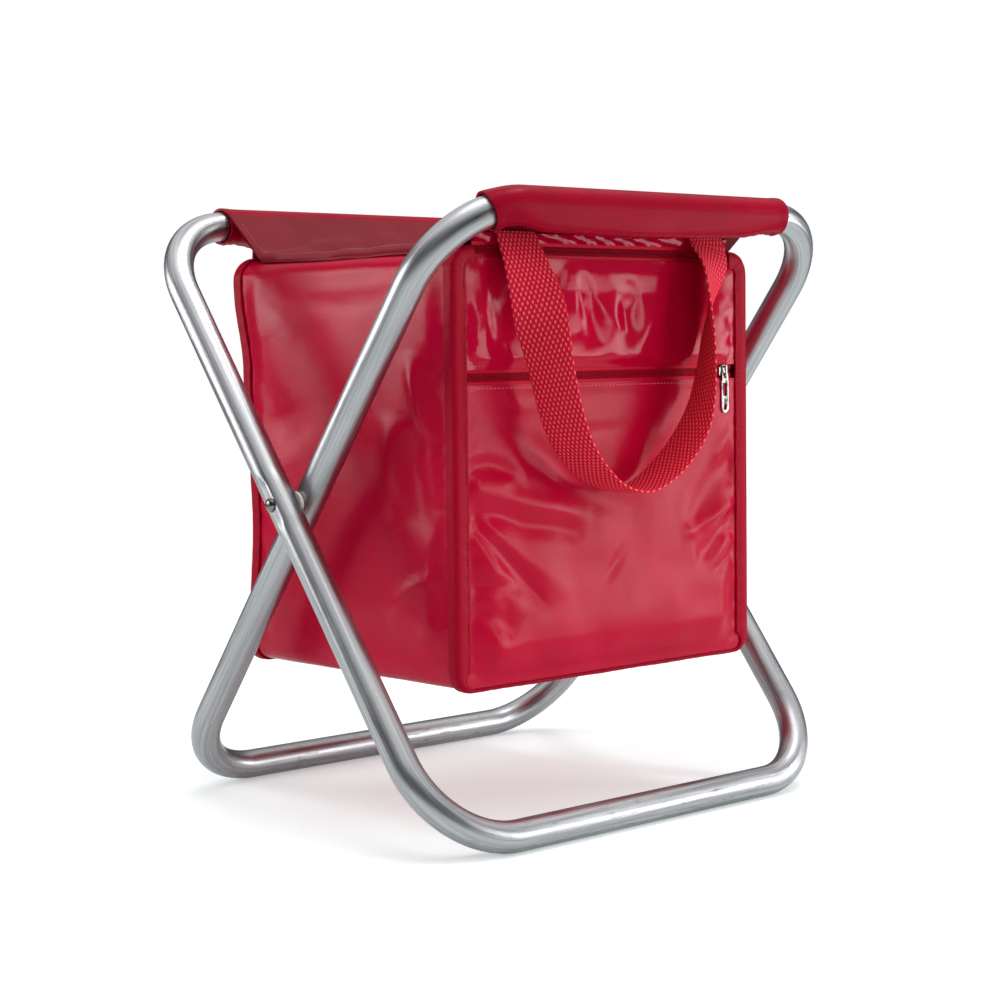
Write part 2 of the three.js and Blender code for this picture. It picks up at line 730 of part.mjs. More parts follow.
function zipHalf(height, direction, half_length, tape_end) {
  const coil_near = height + direction * (coil_gap / 2);
  const coil_far = coil_near + direction * coil_row;
  const outline = [
    [-coil_front, coil_near],
    [-coil_back, coil_near],
    [-coil_back, tape_end],
    [-tape_front, tape_end],
    [-tape_front, coil_far],
    [-coil_front, coil_far],
  ];
  return barX(outline, -half_length, half_length);
}

const plate_back = coil_front + seam_gap;
const plate_front = plate_back + slider_plate;
const bail_front = plate_front + bail_opening + bail_bar;

function sliderGeometry(x, height) {
  const half = slider_length / 2;
  const tail_half_height = slider_half_height * slider_tail_share;
  const shoulder = -half * slider_shoulder_share;
  const outline = new THREE.Shape();
  outline.moveTo(-half, -tail_half_height);
  outline.lineTo(shoulder, -slider_half_height);
  outline.lineTo(half - slider_plate, -slider_half_height);
  outline.lineTo(half, slider_plate - slider_half_height);
  outline.lineTo(half, slider_half_height - slider_plate);
  outline.lineTo(half - slider_plate, slider_half_height);
  outline.lineTo(shoulder, slider_half_height);
  outline.lineTo(-half, tail_half_height);
  const embed = slider_plate / 2;
  const front = sheetY(outline, -plate_front, -plate_back);
  const back_face = coil_back - seam_gap;
  const back = sheetY(outline, -back_face, slider_plate - back_face);
  const post_end = half - slider_plate;
  const post_y = [-plate_back - embed, embed - back_face];
  const post = block(0, post_end, ...post_y, -slider_post / 2, slider_post / 2);
  const flange_low = slider_half_height - slider_flange;
  const flange_y = [-plate_back - embed, -tape_front - seam_gap];
  const upper_flange = block(shoulder, post_end, ...flange_y, flange_low, slider_half_height);
  const lower_flange = block(shoulder, post_end, ...flange_y, -slider_half_height, -flange_low);
  const bail_inner = bail_half_span - bail_bar;
  const root = -plate_front + embed;
  const under = -plate_front - bail_opening;
  const bail_outline = [
    [root, -bail_half_span],
    [-bail_front, -bail_half_span],
    [-bail_front, bail_half_span],
    [root, bail_half_span],
    [root, bail_inner],
    [under, bail_inner],
    [under, -bail_inner],
    [root, -bail_inner],
  ];
  const bail = barX(bail_outline, -bail_width / 2, bail_width / 2);
  return join(front, back, post, upper_flange, lower_flange, bail).translate(x, 0, height);
}

function roundHole(x, z, rx, rz) {
  const hole = new THREE.Path();
  hole.absellipse(x, z, rx, rz, 0, 2 * Math.PI, false, 0);
  return hole;
}

function slotHole(half_width, low, high) {
  const hole = new THREE.Path();
  hole.moveTo(-half_width, low);
  hole.lineTo(half_width, low);
  hole.lineTo(half_width, high);
  hole.lineTo(-half_width, high);
  hole.closePath();
  return hole;
}

// The pull hangs with its eye round the lower end of the bail.
function pullGeometry(x, height) {
  const hang = bail_half_span - bail_bar - seam_gap;
  const eye_low = -bail_half_span - pull_rim;
  const top = pull_rim - hang;
  const low = top - pull_length;
  const r = pull_width / 2;
  const shoulder = eye_low - pull_rim / 2;
  const outline = new THREE.Shape();
  outline.moveTo(-pull_eye_width / 2, top);
  outline.lineTo(-pull_eye_width / 2, shoulder);
  outline.lineTo(-r, shoulder - 2 * pull_rim);
  outline.lineTo(-r, low + r);
  outline.absarc(0, low + r, r, Math.PI, 2 * Math.PI);
  outline.lineTo(r, shoulder - 2 * pull_rim);
  outline.lineTo(pull_eye_width / 2, shoulder);
  outline.lineTo(pull_eye_width / 2, top);
  const window_high = eye_low - 3 * pull_rim;
  const window_low = window_high - pull_length * pull_window_share;
  outline.holes.push(slotHole(bail_width / 2 + pull_rim / 2, eye_low, -hang));
  outline.holes.push(slotHole(r - 1.5 * pull_rim, window_low, window_high));
  outline.holes.push(roundHole(0, low + r + pull_rim / 2, r - 1.5 * pull_rim, r - pull_rim));
  const middle = plate_front + bail_opening / 2;
  const pull = sheetY(outline, -middle - pull_thickness / 2, pull_thickness / 2 - middle);
  return pull.translate(x, 0, height);
}

const pocket_tape_high = pocket_zip_height + tape_width;
const pocket_tape_low = pocket_zip_height - tape_width;
add("pocket_zip_upper_half", zipHalf(pocket_zip_height, 1, zip_half_length, pocket_tape_high), red_tape);
add("pocket_zip_lower_half", zipHalf(pocket_zip_height, -1, zip_half_length, pocket_tape_low), red_tape);
add("pocket_zip_slider", sliderGeometry(pocket_slider_place, pocket_zip_height), steel);
add("pocket_zip_pull", pullGeometry(pocket_slider_place, pocket_zip_height), steel);
const main_tape_high = seatUnderside(tape_front) - seam_gap;
const main_tape_low = main_zip_height - tape_width;
add("main_zip_upper_half", zipHalf(main_zip_height, 1, main_zip_half_length, main_tape_high), red_tape);
add("main_zip_lower_half", zipHalf(main_zip_height, -1, main_zip_half_length, main_tape_low), red_tape);
add("main_zip_slider", sliderGeometry(main_slider_place, main_zip_height), steel);
add("main_zip_pull", pullGeometry(main_slider_place, main_zip_height), steel);

// Webbing handle. Its width turns from lying along X at the seams to edge on at the bottom.
const handle_back = handle_seam_depth - webbing_thickness / 2;
const handle_top = seatUnderside(handle_back) - seam_gap - webbing_thickness / 2;

function handleGeometry() {
  const places = handle_route_shares.map(([across, out, down]) => {
    const x = handle_centre + across * handle_half_span;
    return new THREE.Vector3(x, -handle_seam_depth - out * handle_bulge, handle_top - down * handle_drop);
  });
  const route = new THREE.CatmullRomCurve3(places);
  const turns = new THREE.CatmullRomCurve3(handle_route_shares.map((row) => new THREE.Vector3(row[3], 0, 0)));
  const rings = [];
  for (let i = 0; i <= handle_steps; i++) {
    const t = i / handle_steps;
    const centre = route.getPoint(t);
    const tangent = route.getTangent(t);
    const turn = turns.getPoint(t).x * (Math.PI / 2);
    const wide = new THREE.Vector3(Math.cos(turn), -Math.sin(turn), 0);
    wide.addScaledVector(tangent, -wide.dot(tangent)).normalize();
    const thick = new THREE.Vector3().crossVectors(tangent, wide);
    const corners = [[-1, -1], [1, -1], [1, 1], [-1, 1]];
    rings.push(
      corners.map(([a, b]) => {
        const corner = centre.clone().addScaledVector(wide, (a * webbing_width) / 2);
        return corner.addScaledVector(thick, (b * webbing_thickness) / 2);
      }),
    );
  }
  return skin(rings);
}

const handle = handleGeometry();
add("front_handle", handle, red_webbing);
const rear_handle_rise = seatUnderside(handle_back + back_top_shift) - seatUnderside(handle_back);
add("rear_handle", turned(handle).translate(0, back_top_shift, rear_handle_rise), red_webbing);

export default stool;
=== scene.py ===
# Folding cooler stool: the finished look of the stool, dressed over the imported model.
# Metres, in the model's own axes: the pocket faces -Y, +Z is up and the floor is Z = 0.
from math import asin, atan2, cos, exp, pi, radians, sin, sqrt

import bmesh
import bpy
import numpy as np
from mathutils import Matrix, Vector


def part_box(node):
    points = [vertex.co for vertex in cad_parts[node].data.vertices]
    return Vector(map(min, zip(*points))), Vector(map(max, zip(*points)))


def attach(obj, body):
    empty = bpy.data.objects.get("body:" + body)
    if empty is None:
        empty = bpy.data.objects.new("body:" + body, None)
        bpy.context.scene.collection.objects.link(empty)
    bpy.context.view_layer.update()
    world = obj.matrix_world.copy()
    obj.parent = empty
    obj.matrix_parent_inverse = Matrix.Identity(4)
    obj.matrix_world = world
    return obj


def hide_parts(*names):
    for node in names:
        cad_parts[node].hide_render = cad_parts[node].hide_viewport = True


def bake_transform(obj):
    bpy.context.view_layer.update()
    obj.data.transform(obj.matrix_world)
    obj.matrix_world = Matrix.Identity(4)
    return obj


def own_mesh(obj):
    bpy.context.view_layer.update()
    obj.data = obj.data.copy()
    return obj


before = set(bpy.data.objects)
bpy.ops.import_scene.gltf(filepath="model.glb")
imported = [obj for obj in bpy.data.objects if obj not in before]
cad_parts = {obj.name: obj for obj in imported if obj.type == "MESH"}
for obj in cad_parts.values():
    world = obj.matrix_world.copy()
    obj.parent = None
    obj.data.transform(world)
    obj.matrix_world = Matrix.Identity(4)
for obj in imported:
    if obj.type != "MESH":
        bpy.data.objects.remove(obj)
scene = bpy.context.scene
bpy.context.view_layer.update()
mm = 0.001

# Camera. It stands to the front left of the stool and lower than the seat, and looks at the
# stool's middle at the height of the legs' crossing, as the photograph's camera did.
camera_place = Vector((-943.8, -1042.7, 292.6)) * mm
camera_aim = Vector((7.41, 6.09, 190.0)) * mm
camera_roll = radians(-0.736)


def stand(name, data, place, aim, roll=0.0):
    """Put a camera or a lamp at a place, turned to what it aims at."""
    holder = bpy.data.objects.new(name, data)
    view = (Vector(aim) - Vector(place)).to_track_quat("-Z", "Y").to_matrix()
    holder.matrix_world = Matrix.Translation(place) @ (view @ Matrix.Rotation(roll, 3, "Z")).to_4x4()
    scene.collection.objects.link(holder)
    return holder


lens = bpy.data.cameras.new("camera")
lens.sensor_width = 36
lens.lens = 77.02
scene.camera = stand("camera", lens, camera_place, camera_aim, camera_roll)

# Leg loops. Each is one aluminium tube, drawn, bent at four corners and welded into a closed
# loop. At the crossing its facing side is pressed flat, and its outer side is dimpled for the
# rivet. The two loops are the same, one turned half round.
tube_r = 9.5 * mm
loop_half_width = 165.5 * mm
bend_radius = 56.8 * mm
upper_leg = 219.4 * mm
lower_leg = 237.7 * mm
lean = radians(37.36)
loop_shift = 9.9 * mm
press_depth = 1.1 * mm
rivet_seat_depth = 0.8 * mm
press_half = 11 * mm
press_fade = 12 * mm
press_widening = 0.04
fine_reach = 33 * mm
tube_sides = 48
pivot_height = lower_leg * cos(lean) + tube_r
leg_direction = np.array((0, sin(lean), cos(lean)))
plane_normal = np.array((0, -cos(lean), sin(lean)))
straight_half = loop_half_width - bend_radius
metal_colour = (0.43, 0.435, 0.45)


def ease(value, low, high):
    """A smooth share that is 0 up to low and 1 from high on."""
    share = np.clip((np.asarray(value, float) - low) / (high - low), 0, 1)
    return share * share * (3 - 2 * share)


def surface(mesh, finish, sharp):
    """One finish all over, shaded smooth but for edges of more than sharp degrees."""
    mesh.polygons.foreach_set("use_smooth", [True] * len(mesh.polygons))
    mesh.set_sharp_from_angle(angle=radians(sharp))
    mesh.materials.clear()
    mesh.materials.append(finish)


def new_piece(name, points, faces, finish, uvs=None, sharp=40):
    mesh = bpy.data.meshes.new(name)
    mesh.from_pydata([tuple(p) for p in np.reshape(points, (-1, 3))], [], faces)
    if uvs is not None:
        layer = mesh.uv_layers.new(name="UVMap")
        layer.data.foreach_set("uv", np.asarray(uvs, np.float32).ravel())
    shaping = bmesh.new()
    shaping.from_mesh(mesh)
    bmesh.ops.recalc_face_normals(shaping, faces=shaping.faces)
    shaping.to_mesh(mesh)
    shaping.free()
    surface(mesh, finish, sharp)
    piece = bpy.data.objects.new(name, mesh)
    scene.collection.objects.link(piece)
    return piece


def lengths_along(points):
    """How far along a row of points each of them lies."""
    return np.concatenate([[0], np.cumsum(np.linalg.norm(np.diff(points, axis=0), axis=1))])


def woven_grid(grid, along_closed=False, round_closed=False, u=None, v=None):
    """Quads and their UVs, in metres, over a grid of points."""
    rows, columns = grid.shape[:2]
    if u is None:
        u, v = lengths_along(grid[:, 0]), lengths_along(grid[0])
        u, v = np.append(u, u[-1] + u[1]), np.append(v, v[-1] + v[1])
    faces, uvs = [], []
    for i in range(rows if along_closed else rows - 1):
        for j in range(columns if round_closed else columns - 1):
            corners = ((i, j), (i + 1, j), (i + 1, j + 1), (i, j + 1))
            faces.append([(a % rows) * columns + b % columns for a, b in corners])
            uvs.extend((u[a], v[b]) for a, b in corners)
    return faces, uvs


def loop_stations():
    """Places round the loop: x, height along the leg, how far it has turned, and 1 on a leg."""
    leg_ends = (bend_radius - lower_leg, upper_leg - bend_radius)
    coarse_from = fine_reach + 2 * mm
    parts = ((leg_ends[0], -coarse_from, 22), (-fine_reach, fine_reach, 45), (coarse_from, leg_ends[1], 18))
    rise = np.concatenate([np.linspace(*part) for part in parts])
    bar = np.linspace(straight_half, -straight_half, 24)[1:]
    stations = [(loop_half_width, along, 0, 1) for along in rise]

    def bend(x, along, start):
        for turn in start + np.linspace(0, pi / 2, 26)[1:]:
            place = (x + bend_radius * cos(turn), along + bend_radius * sin(turn))
            stations.append((*place, turn, 0))

    bend(straight_half, leg_ends[1], 0)
    stations.extend((x, upper_leg, pi / 2, 0) for x in bar)
    bend(-straight_half, leg_ends[1], pi / 2)
    stations.extend((-loop_half_width, along, pi, 1) for along in rise[::-1][1:])
    bend(-straight_half, leg_ends[0], pi)
    stations.extend((-x, -lower_leg, 1.5 * pi, 0) for x in bar)
    bend(straight_half, leg_ends[0], 1.5 * pi)
    return stations[:-1]


def loop_grid():
    angles = (np.arange(tube_sides) + 0.5) * 2 * pi / tube_sides - lean
    rings = []
    for x, along, turn, on_leg in loop_stations():
        pressed = on_leg * (1 - float(ease(abs(along), press_half, press_half + press_fade)))
        out = tube_r * np.cos(angles)
        high = tube_r * np.sin(angles) * (1 + press_widening * pressed)
        flats = (pressed * rivet_seat_depth - tube_r, tube_r - pressed * press_depth)
        sideways = np.clip(out * cos(turn), *flats)
        centre = np.array((x - loop_shift, 0, pivot_height)) + along * leg_direction
        ring = centre + np.outer(sideways, (1, 0, 0))
        ring += np.outer(out * sin(turn), leg_direction) + np.outer(high, plane_normal)
        rings.append(ring)
    return np.array(rings)


def shader_of(finish):
    return finish.node_tree.nodes["Principled BSDF"]


def new_finish(name, colour, roughness, metallic=0.0, gloss=0.5):
    finish = bpy.data.materials.new(name)
    finish.use_nodes = True
    shader = shader_of(finish)
    shader.inputs["Specular IOR Level"].default_value = gloss
    shader.inputs["Base Color"].default_value = (*colour, 1)
    shader.inputs["Roughness"].default_value = roughness
    shader.inputs["Metallic"].default_value = metallic
    return finish


def add_node(finish, kind, inputs=None, **settings):
    """One shader node. An input is a value, or the output socket of another node."""
    node = finish.node_tree.nodes.new(kind)
    for key, value in settings.items():
        setattr(node, key, value)
    for key, value in (inputs or {}).items():
        if isinstance(value, bpy.types.NodeSocket):
            finish.node_tree.links.new(value, node.inputs[key])
        else:
            node.inputs[key].default_value = value
    return node


def coordinates(finish, source="Object", scale=(1, 1, 1)):
    inputs = {"Vector": add_node(finish, "ShaderNodeTexCoord").outputs[source], "Scale": scale}
    return add_node(finish, "ShaderNodeMapping", inputs).outputs["Vector"]


def noise_of(finish, scale, detail, roughness=0.55, vector=None):
    """Noise over the object's own places, or over another vector."""
    if vector is None:
        vector = coordinates(finish)
    inputs = {"Vector": vector, "Scale": scale, "Detail": detail, "Roughness": roughness}
    return add_node(finish, "ShaderNodeTexNoise", inputs).outputs["Fac"]


def ranged(finish, value, from_low, from_high, to_low=0, to_high=1):
    ends = {"From Min": from_low, "From Max": from_high, "To Min": to_low, "To Max": to_high}
    return add_node(finish, "ShaderNodeMapRange", {"Value": value, **ends}).outputs["Result"]


def mixed_colour(finish, share, low, high):
    mix = add_node(finish, "ShaderNodeMix", {"Factor": share}, data_type="RGBA")
    for socket, colour in ((mix.inputs[6], low), (mix.inputs[7], high)):
        if isinstance(colour, bpy.types.NodeSocket):
            finish.node_tree.links.new(colour, socket)
        else:
            socket.default_value = (*colour, 1)
    return mix.outputs[2]


def maths(finish, operation, first, second=0.0):
    return add_node(finish, "ShaderNodeMath", {0: first, 1: second}, operation=operation).outputs[0]


def wire(finish, socket, value):
    finish.node_tree.links.new(value, shader_of(finish).inputs[socket])


def raised(finish, height, distance, strength):
    inputs = {"Height": height, "Distance": distance, "Strength": strength}
    wire(finish, "Normal", add_node(finish, "ShaderNodeBump", inputs).outputs["Normal"])


def drawn_aluminium():
    finish = new_finish("drawn aluminium", metal_colour, 0.3, 1)
    lines = noise_of(finish, 1.0, 5, 0.65, coordinates(finish, "UV", (9, 700, 1)))
    faint = noise_of(finish, 1.0, 3, vector=coordinates(finish, "UV", (30, 130, 1)))
    scuffs = noise_of(finish, 1.0, 6, 0.7, coordinates(finish, "UV", (55, 420, 1)))
    height = add_node(finish, "ShaderNodeSeparateXYZ", {"Vector": coordinates(finish)}).outputs["Z"]
    near_floor = ranged(finish, height, 14 * mm, 34 * mm, 1, 0.12)
    scuffed = maths(finish, "MULTIPLY", ranged(finish, scuffs, 0.56, 0.68), near_floor)
    drawn = ranged(finish, lines, 0.35, 0.7)
    dulled = mixed_colour(finish, drawn, (0.32, 0.325, 0.34), (0.60, 0.605, 0.62))
    wire(finish, "Base Color", mixed_colour(finish, scuffed, dulled, (0.23, 0.235, 0.25)))
    sheen = ranged(finish, lines, 0.3, 0.7, 0.28, 0.42)
    sheen = maths(finish, "ADD", sheen, ranged(finish, faint, 0.3, 0.7, -0.05, 0.07))
    wire(finish, "Roughness", maths(finish, "ADD", sheen, maths(finish, "MULTIPLY", scuffed, 0.2)))
    raised(finish, maths(finish, "ADD", lines, maths(finish, "MULTIPLY", scuffs, 0.5)), 0.07 * mm, 0.6)
    return finish


def place_piece(piece, body, node):
    """The piece rides on a body. With a node, it stands for that solid, which is hidden."""
    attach(piece, body)
    if node:
        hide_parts(node)


aluminium = drawn_aluminium()
front_grid = loop_grid()
loop_faces, loop_uvs = woven_grid(front_grid, True, True)
half_turn = np.array((-1, -1, 1))
for loop_name, grid in (("front_leg_loop", front_grid), ("rear_leg_loop", front_grid * half_turn)):
    loop = new_piece(loop_name + ".tube", grid, loop_faces, aluminium, loop_uvs)
    place_piece(loop, loop_name, loop_name)

# Pivot rivets and washers. A steel rivet with a domed head holds each crossing, with a white
# nylon washer between the two pressed flats. Their edges are broken, as on turned parts.
steel_colour = (0.22, 0.217, 0.205)
edge_break = 0.25 * mm


def grained(name, colour, roughness, grain, relief, tints=None, tinted=(0, 1), dulled=None, **settings):
    """A finish with a noise that roughens its surface and, where asked, tints and dulls it."""
    finish = new_finish(name, colour, roughness, **settings)
    noise = noise_of(finish, *grain)
    if tints:
        wire(finish, "Base Color", mixed_colour(finish, ranged(finish, noise, *tinted), *tints))
    if dulled:
        wire(finish, "Roughness", ranged(finish, noise, *dulled))
    raised(finish, noise, *relief)
    return finish


def broken_edges(node, suffix, finish, width=edge_break):
    """A copy of a solid with its edges broken, which stands for that solid."""
    piece = bpy.data.objects.new(f"{node}.{suffix}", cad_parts[node].data.copy())
    scene.collection.objects.link(piece)
    bpy.context.view_layer.update()
    shaping = bmesh.new()
    shaping.from_mesh(piece.data)
    bmesh.ops.remove_doubles(shaping, verts=shaping.verts, dist=0.002 * mm)
    bmesh.ops.dissolve_limit(shaping, angle_limit=radians(1), verts=shaping.verts, edges=shaping.edges)
    edges = [e for e in shaping.edges if e.is_manifold and e.calc_face_angle(0) > radians(35)]
    bmesh.ops.bevel(shaping, geom=edges, offset=width, segments=2, affect="EDGES", clamp_overlap=True)
    shaping.to_mesh(piece.data)
    shaping.free()
    surface(piece.data, finish, 32)
    return piece


steel = grained(
    "bright nickel plate", steel_colour, 0.2, (260, 5, 0.6), (0.04 * mm, 0.5),
    ((0.30, 0.295, 0.28), (0.09, 0.088, 0.082)), (0.3, 0.72), (0.3, 0.75, 0.12, 0.34), metallic=1)
nylon = grained(
    "white nylon", (0.8, 0.79, 0.75), 0.5, (900, 3), (0.03 * mm, 0.4), dulled=(0.3, 0.7, 0.42, 0.6))
for side in ("left", "right"):
    for node, finish, slot in (("pivot_rivet_", steel, "bright_steel"), ("pivot_washer_", nylon, "nylon")):
        place_piece(broken_edges(node + side, "turned", finish), "front_leg_loop", node + side)

# Coated cloth. The seat and the bag are cut from one red woven cloth with a satin coating on
# its face. It is cut with some ease, so it buckles softly between its seams.
cloth_colour = (0.49, 0.001, 0.030)
cloth_deep = (0.42, 0.001, 0.024)


def coated_cloth(name, light, deep, shine, dull, weave, gloss):
    finish = new_finish(name, light, shine, gloss=gloss)
    patches = noise_of(finish, 22, 3)
    wire(finish, "Base Color", mixed_colour(finish, ranged(finish, patches, 0.32, 0.68), light, deep))
    grain = noise_of(finish, 1400, 2)
    wave = {"Vector": coordinates(finish), "Scale": 420, "Distortion": 1.5, "Detail": 1.0}
    threads = add_node(finish, "ShaderNodeTexWave", wave, wave_type="BANDS", bands_direction="Z")
    dulled = ranged(finish, patches, 0.3, 0.7, shine, dull)
    wire(finish, "Roughness", maths(finish, "ADD", dulled, ranged(finish, grain, 0.3, 0.7, -0.04, 0.04)))
    fine = maths(finish, "ADD", grain, maths(finish, "MULTIPLY", threads.outputs["Fac"], 0.25))
    raised(finish, fine, weave * mm, 0.6)
    return finish


def ridge(u, v, width, height, start, *route):
    """Height of a soft fold along a route, u and v by turns, in mm. start is its first end's share."""
    points = np.reshape(route, (-1, 2)) * mm
    lengths = lengths_along(points)
    nearest = np.full(np.shape(u), 1e9)
    share = np.zeros(np.shape(u))
    for a, b, done, reached in zip(points, points[1:], lengths, lengths[1:]):
        step = (b - a) / (reached - done)
        t = np.clip((u - a[0]) * step[0] + (v - a[1]) * step[1], 0, reached - done)
        gap = np.hypot(u - a[0] - t * step[0], v - a[1] - t * step[1])
        share = np.where(gap < nearest, (done + t) / lengths[-1], share)
        nearest = np.minimum(gap, nearest)
    swell = np.sin(pi * share) ** 0.6
    ends = np.where(share < 0.5, start, 0)
    return height * mm * np.exp(-0.5 * (nearest / (width * mm)) ** 2) * (swell + ends * (1 - swell))


def folds_of(u, v, table):
    """The sum of a table's folds. A row is a fold's width, height and start, and then its route."""
    return sum(ridge(u, v, *row) for row in table)


def waves(u, v, seed, size, height):
    """Gentle unevenness of a cloth surface, from a few crossed waves."""
    pick = np.random.default_rng(seed)
    total = np.zeros(np.shape(u))
    for _ in range(7):
        angle = pick.uniform(0, pi)
        length = size * mm * pick.uniform(0.6, 1.8)
        phase = pick.uniform(0, 2 * pi)
        bend = 0.7 * np.sin((u * sin(angle) - v * cos(angle)) / (1.7 * length) + phase)
        total += np.sin(2 * pi * (u * cos(angle) + v * sin(angle)) / length + phase + bend)
    return total / 7 ** 0.5 * height * mm


def cloth_shell(name, face, back, finish):
    """A closed sheet of cloth between a face and a back of equal grids."""
    rows, columns = face.shape[:2]
    faces, uvs = woven_grid(face)
    count = rows * columns
    faces = faces + [[count + k for k in reversed(quad)] for quad in faces]
    uvs = uvs + [uv for q in range(0, len(uvs), 4) for uv in reversed(uvs[q:q + 4])]
    at = np.arange(count).reshape(rows, columns)
    rim = [int(k) for k in np.concatenate([at[0], at[1:, -1], at[-1, -2::-1], at[-2:0:-1, 0]])]
    for a, b in zip(rim, rim[1:] + rim[:1]):
        faces.append([a, b, count + b, count + a])
        uvs.extend([(0, 0)] * 4)
    return new_piece(name, np.concatenate([face, back]), faces, finish, uvs, 50)


satin = coated_cloth("satin coated cloth", cloth_colour, cloth_deep, 0.18, 0.26, 0.11, 0.115)
glossy = coated_cloth("glossy coated cloth", cloth_colour, cloth_deep, 0.08, 0.12, 0.04, 0.15)
# The seat's copy of the same cloth is painted much darker than the bag's, as painted shade on the seat top.
seat_satin_in_painted_shade = coated_cloth(
    "seat cloth darkened as painted shade", (0.205, 0.003, 0.012), (0.17, 0.002, 0.009), 0.32, 0.42, 0.12, 0.07)
# The hem sleeves' copy of the same cloth is painted darker than the bag's, as painted shade on the sleeves.
sleeve_satin_in_painted_shade = coated_cloth(
    "hem sleeve cloth darkened as painted shade", (0.34, 0.001, 0.019), (0.27, 0.001, 0.014), 0.24, 0.32, 0.12, 0.035)

# Hem sleeves. Each end of the seat cloth is turned round a seat bar and sewn back to itself. The
# spare cloth hangs below the bar as a soft lobe.
sleeve_room = 0.6 * mm
sleeve_cloth = 1.6 * mm
seat_half = 123 * mm
lobe_radius = 5 * mm
lobe_out = 5.3 * mm
lobe_drop = 11 * mm
sleeve_sides = 56


def seat_bar(x):
    """Where the rear seat bar's middle line is, across the stool, and how far it has turned down."""
    local = x + loop_shift
    past = max(0.0, abs(local) - straight_half)
    turn = asin(min(1, past / bend_radius)) * (1 if local > 0 else -1)
    along = upper_leg - bend_radius * (1 - cos(turn))
    return local, along, turn


def sleeve_ring(x, thick, order):
    local, along, turn = seat_bar(x)
    end_flare = 1 + 0.05 * exp(-((seat_half - abs(x)) / (5 * mm)) ** 2)
    wrap = (tube_r + sleeve_room) * end_flare + thick
    angle = np.arange(sleeve_sides) * 2 * pi / sleeve_sides
    sag = 1 + 0.10 * sin(x / (31 * mm) + 0.6) + 0.05 * sin(x / (11 * mm))
    slack = 0.5 + 0.5 * float(ease(seat_half - abs(x), 0, 42 * mm))
    lobe = (lobe_radius - sleeve_cloth) * sag + thick
    drop = lobe_drop * slack * (1 + 0.10 * sin(x / (37 * mm) + 1.4))
    aim_y, aim_z = np.cos(angle), np.sin(angle)
    reach = lobe_out * aim_y - drop * aim_z
    blend_share = ease(reach + lobe - wrap, -1.6 * mm, 1.6 * mm)
    y = (1 - blend_share) * wrap * aim_y + blend_share * (lobe_out + lobe * aim_y)
    z = (1 - blend_share) * wrap * aim_z + blend_share * (lobe * aim_z - drop)
    ripple = 0.22 * mm * np.sin(order * 2.1 + 5 * np.sin(angle * 2)) * ease(-aim_z, -0.2, 0.8)
    y, z = y + ripple * aim_y, z + ripple * aim_z
    out = y * leg_direction[1] + z * leg_direction[2]
    off = y * plane_normal[1] + z * plane_normal[2]
    place = np.array((local - loop_shift, 0, pivot_height)) + along * leg_direction
    ring = place + np.outer(out * sin(turn), (1, 0, 0))
    ring += np.outer(out * cos(turn), leg_direction)
    return ring + np.outer(off, plane_normal)


sleeve_places = np.concatenate([
    np.linspace(-seat_half, -seat_half + 12 * mm, 7),
    np.linspace(-seat_half + 15 * mm, seat_half - 15 * mm, 66),
    np.linspace(seat_half - 12 * mm, seat_half, 7),
])
sleeve_outside = [sleeve_ring(x, sleeve_cloth, i) for i, x in enumerate(sleeve_places)]
sleeve_inside = [sleeve_ring(x, 0, i) for i, x in enumerate(sleeve_places)]
rear_sleeve_grid = np.array(sleeve_outside + sleeve_inside[::-1])
sleeve_faces, sleeve_uvs = woven_grid(rear_sleeve_grid, True, True)
for name, body, grid in (
    ("rear_hem_sleeve", "front_leg_loop", rear_sleeve_grid),
    ("front_hem_sleeve", "rear_leg_loop", rear_sleeve_grid * half_turn),
):
    sleeve = new_piece(name + ".cloth", grid, sleeve_faces, sleeve_satin_in_painted_shade, sleeve_uvs, 60)
    place_piece(sleeve, body, name)

# Seat panel. The same cloth lies over the bag's top, nearly flat, and climbs to the two bars.
# Its side edges are turned under and sewn, and its slack gathers into folds from the corners.
seat_flat_half = 93 * mm
seat_flat_height = 351.4 * mm
seat_sag = 1.6 * mm
corner_height = seat_flat_height + seat_sag
seat_cloth = 1.5 * mm
seat_columns = 92
roll_height = 4.6 * mm
roll_place = 104 * mm
roll_reach = 13 * mm
shoulder_start = 114 * mm
shoulder_radius = 13 * mm
hem_inset = 9 * mm
seat_half_length = 124 * mm
stitch_gap = 1.0


def seat_rise(x):
    """Angle of the cloth's rise to the rear bar, and how long the rise is, up to the sleeve."""
    along = seat_bar(x)[1]
    bar = np.array((along * leg_direction[1], pivot_height + along * leg_direction[2]))
    corner = np.array((seat_flat_half, corner_height))
    reach = np.linalg.norm(bar - corner)
    wrap = tube_r + sleeve_room + sleeve_cloth
    climb = atan2(*(bar - corner)[::-1]) + asin(wrap / reach)
    run = sqrt(reach ** 2 - wrap ** 2) - 1.6 * mm
    return climb, run


def seat_line(x):
    """One length of the seat cloth's upper face, from the front bar to the rear bar."""
    rises = []
    for sign in (-1, 1):
        climb, run = seat_rise(sign * x)
        rises.append([(sign * (seat_flat_half + d * cos(climb)), corner_height + d * sin(climb))
                      for d in np.linspace(0, run, 18)[1:]])
    flat = np.linspace(-seat_flat_half, seat_flat_half, 61)
    middle = [(y, seat_flat_height + seat_sag * (y / seat_flat_half) ** 2) for y in flat]
    eased = np.array(rises[0][::-1] + middle + rises[1])
    for _ in range(6):
        eased[1:-1] = (eased[:-2] + 2 * eased[1:-1] + eased[2:]) / 4
    return eased


def sewing_thread(name, colour):
    darker = tuple(c * 0.8 for c in colour)
    return grained(name, colour, 0.55, (2500, 2), (0.03 * mm, 0.5), (darker, colour), gloss=0.2)


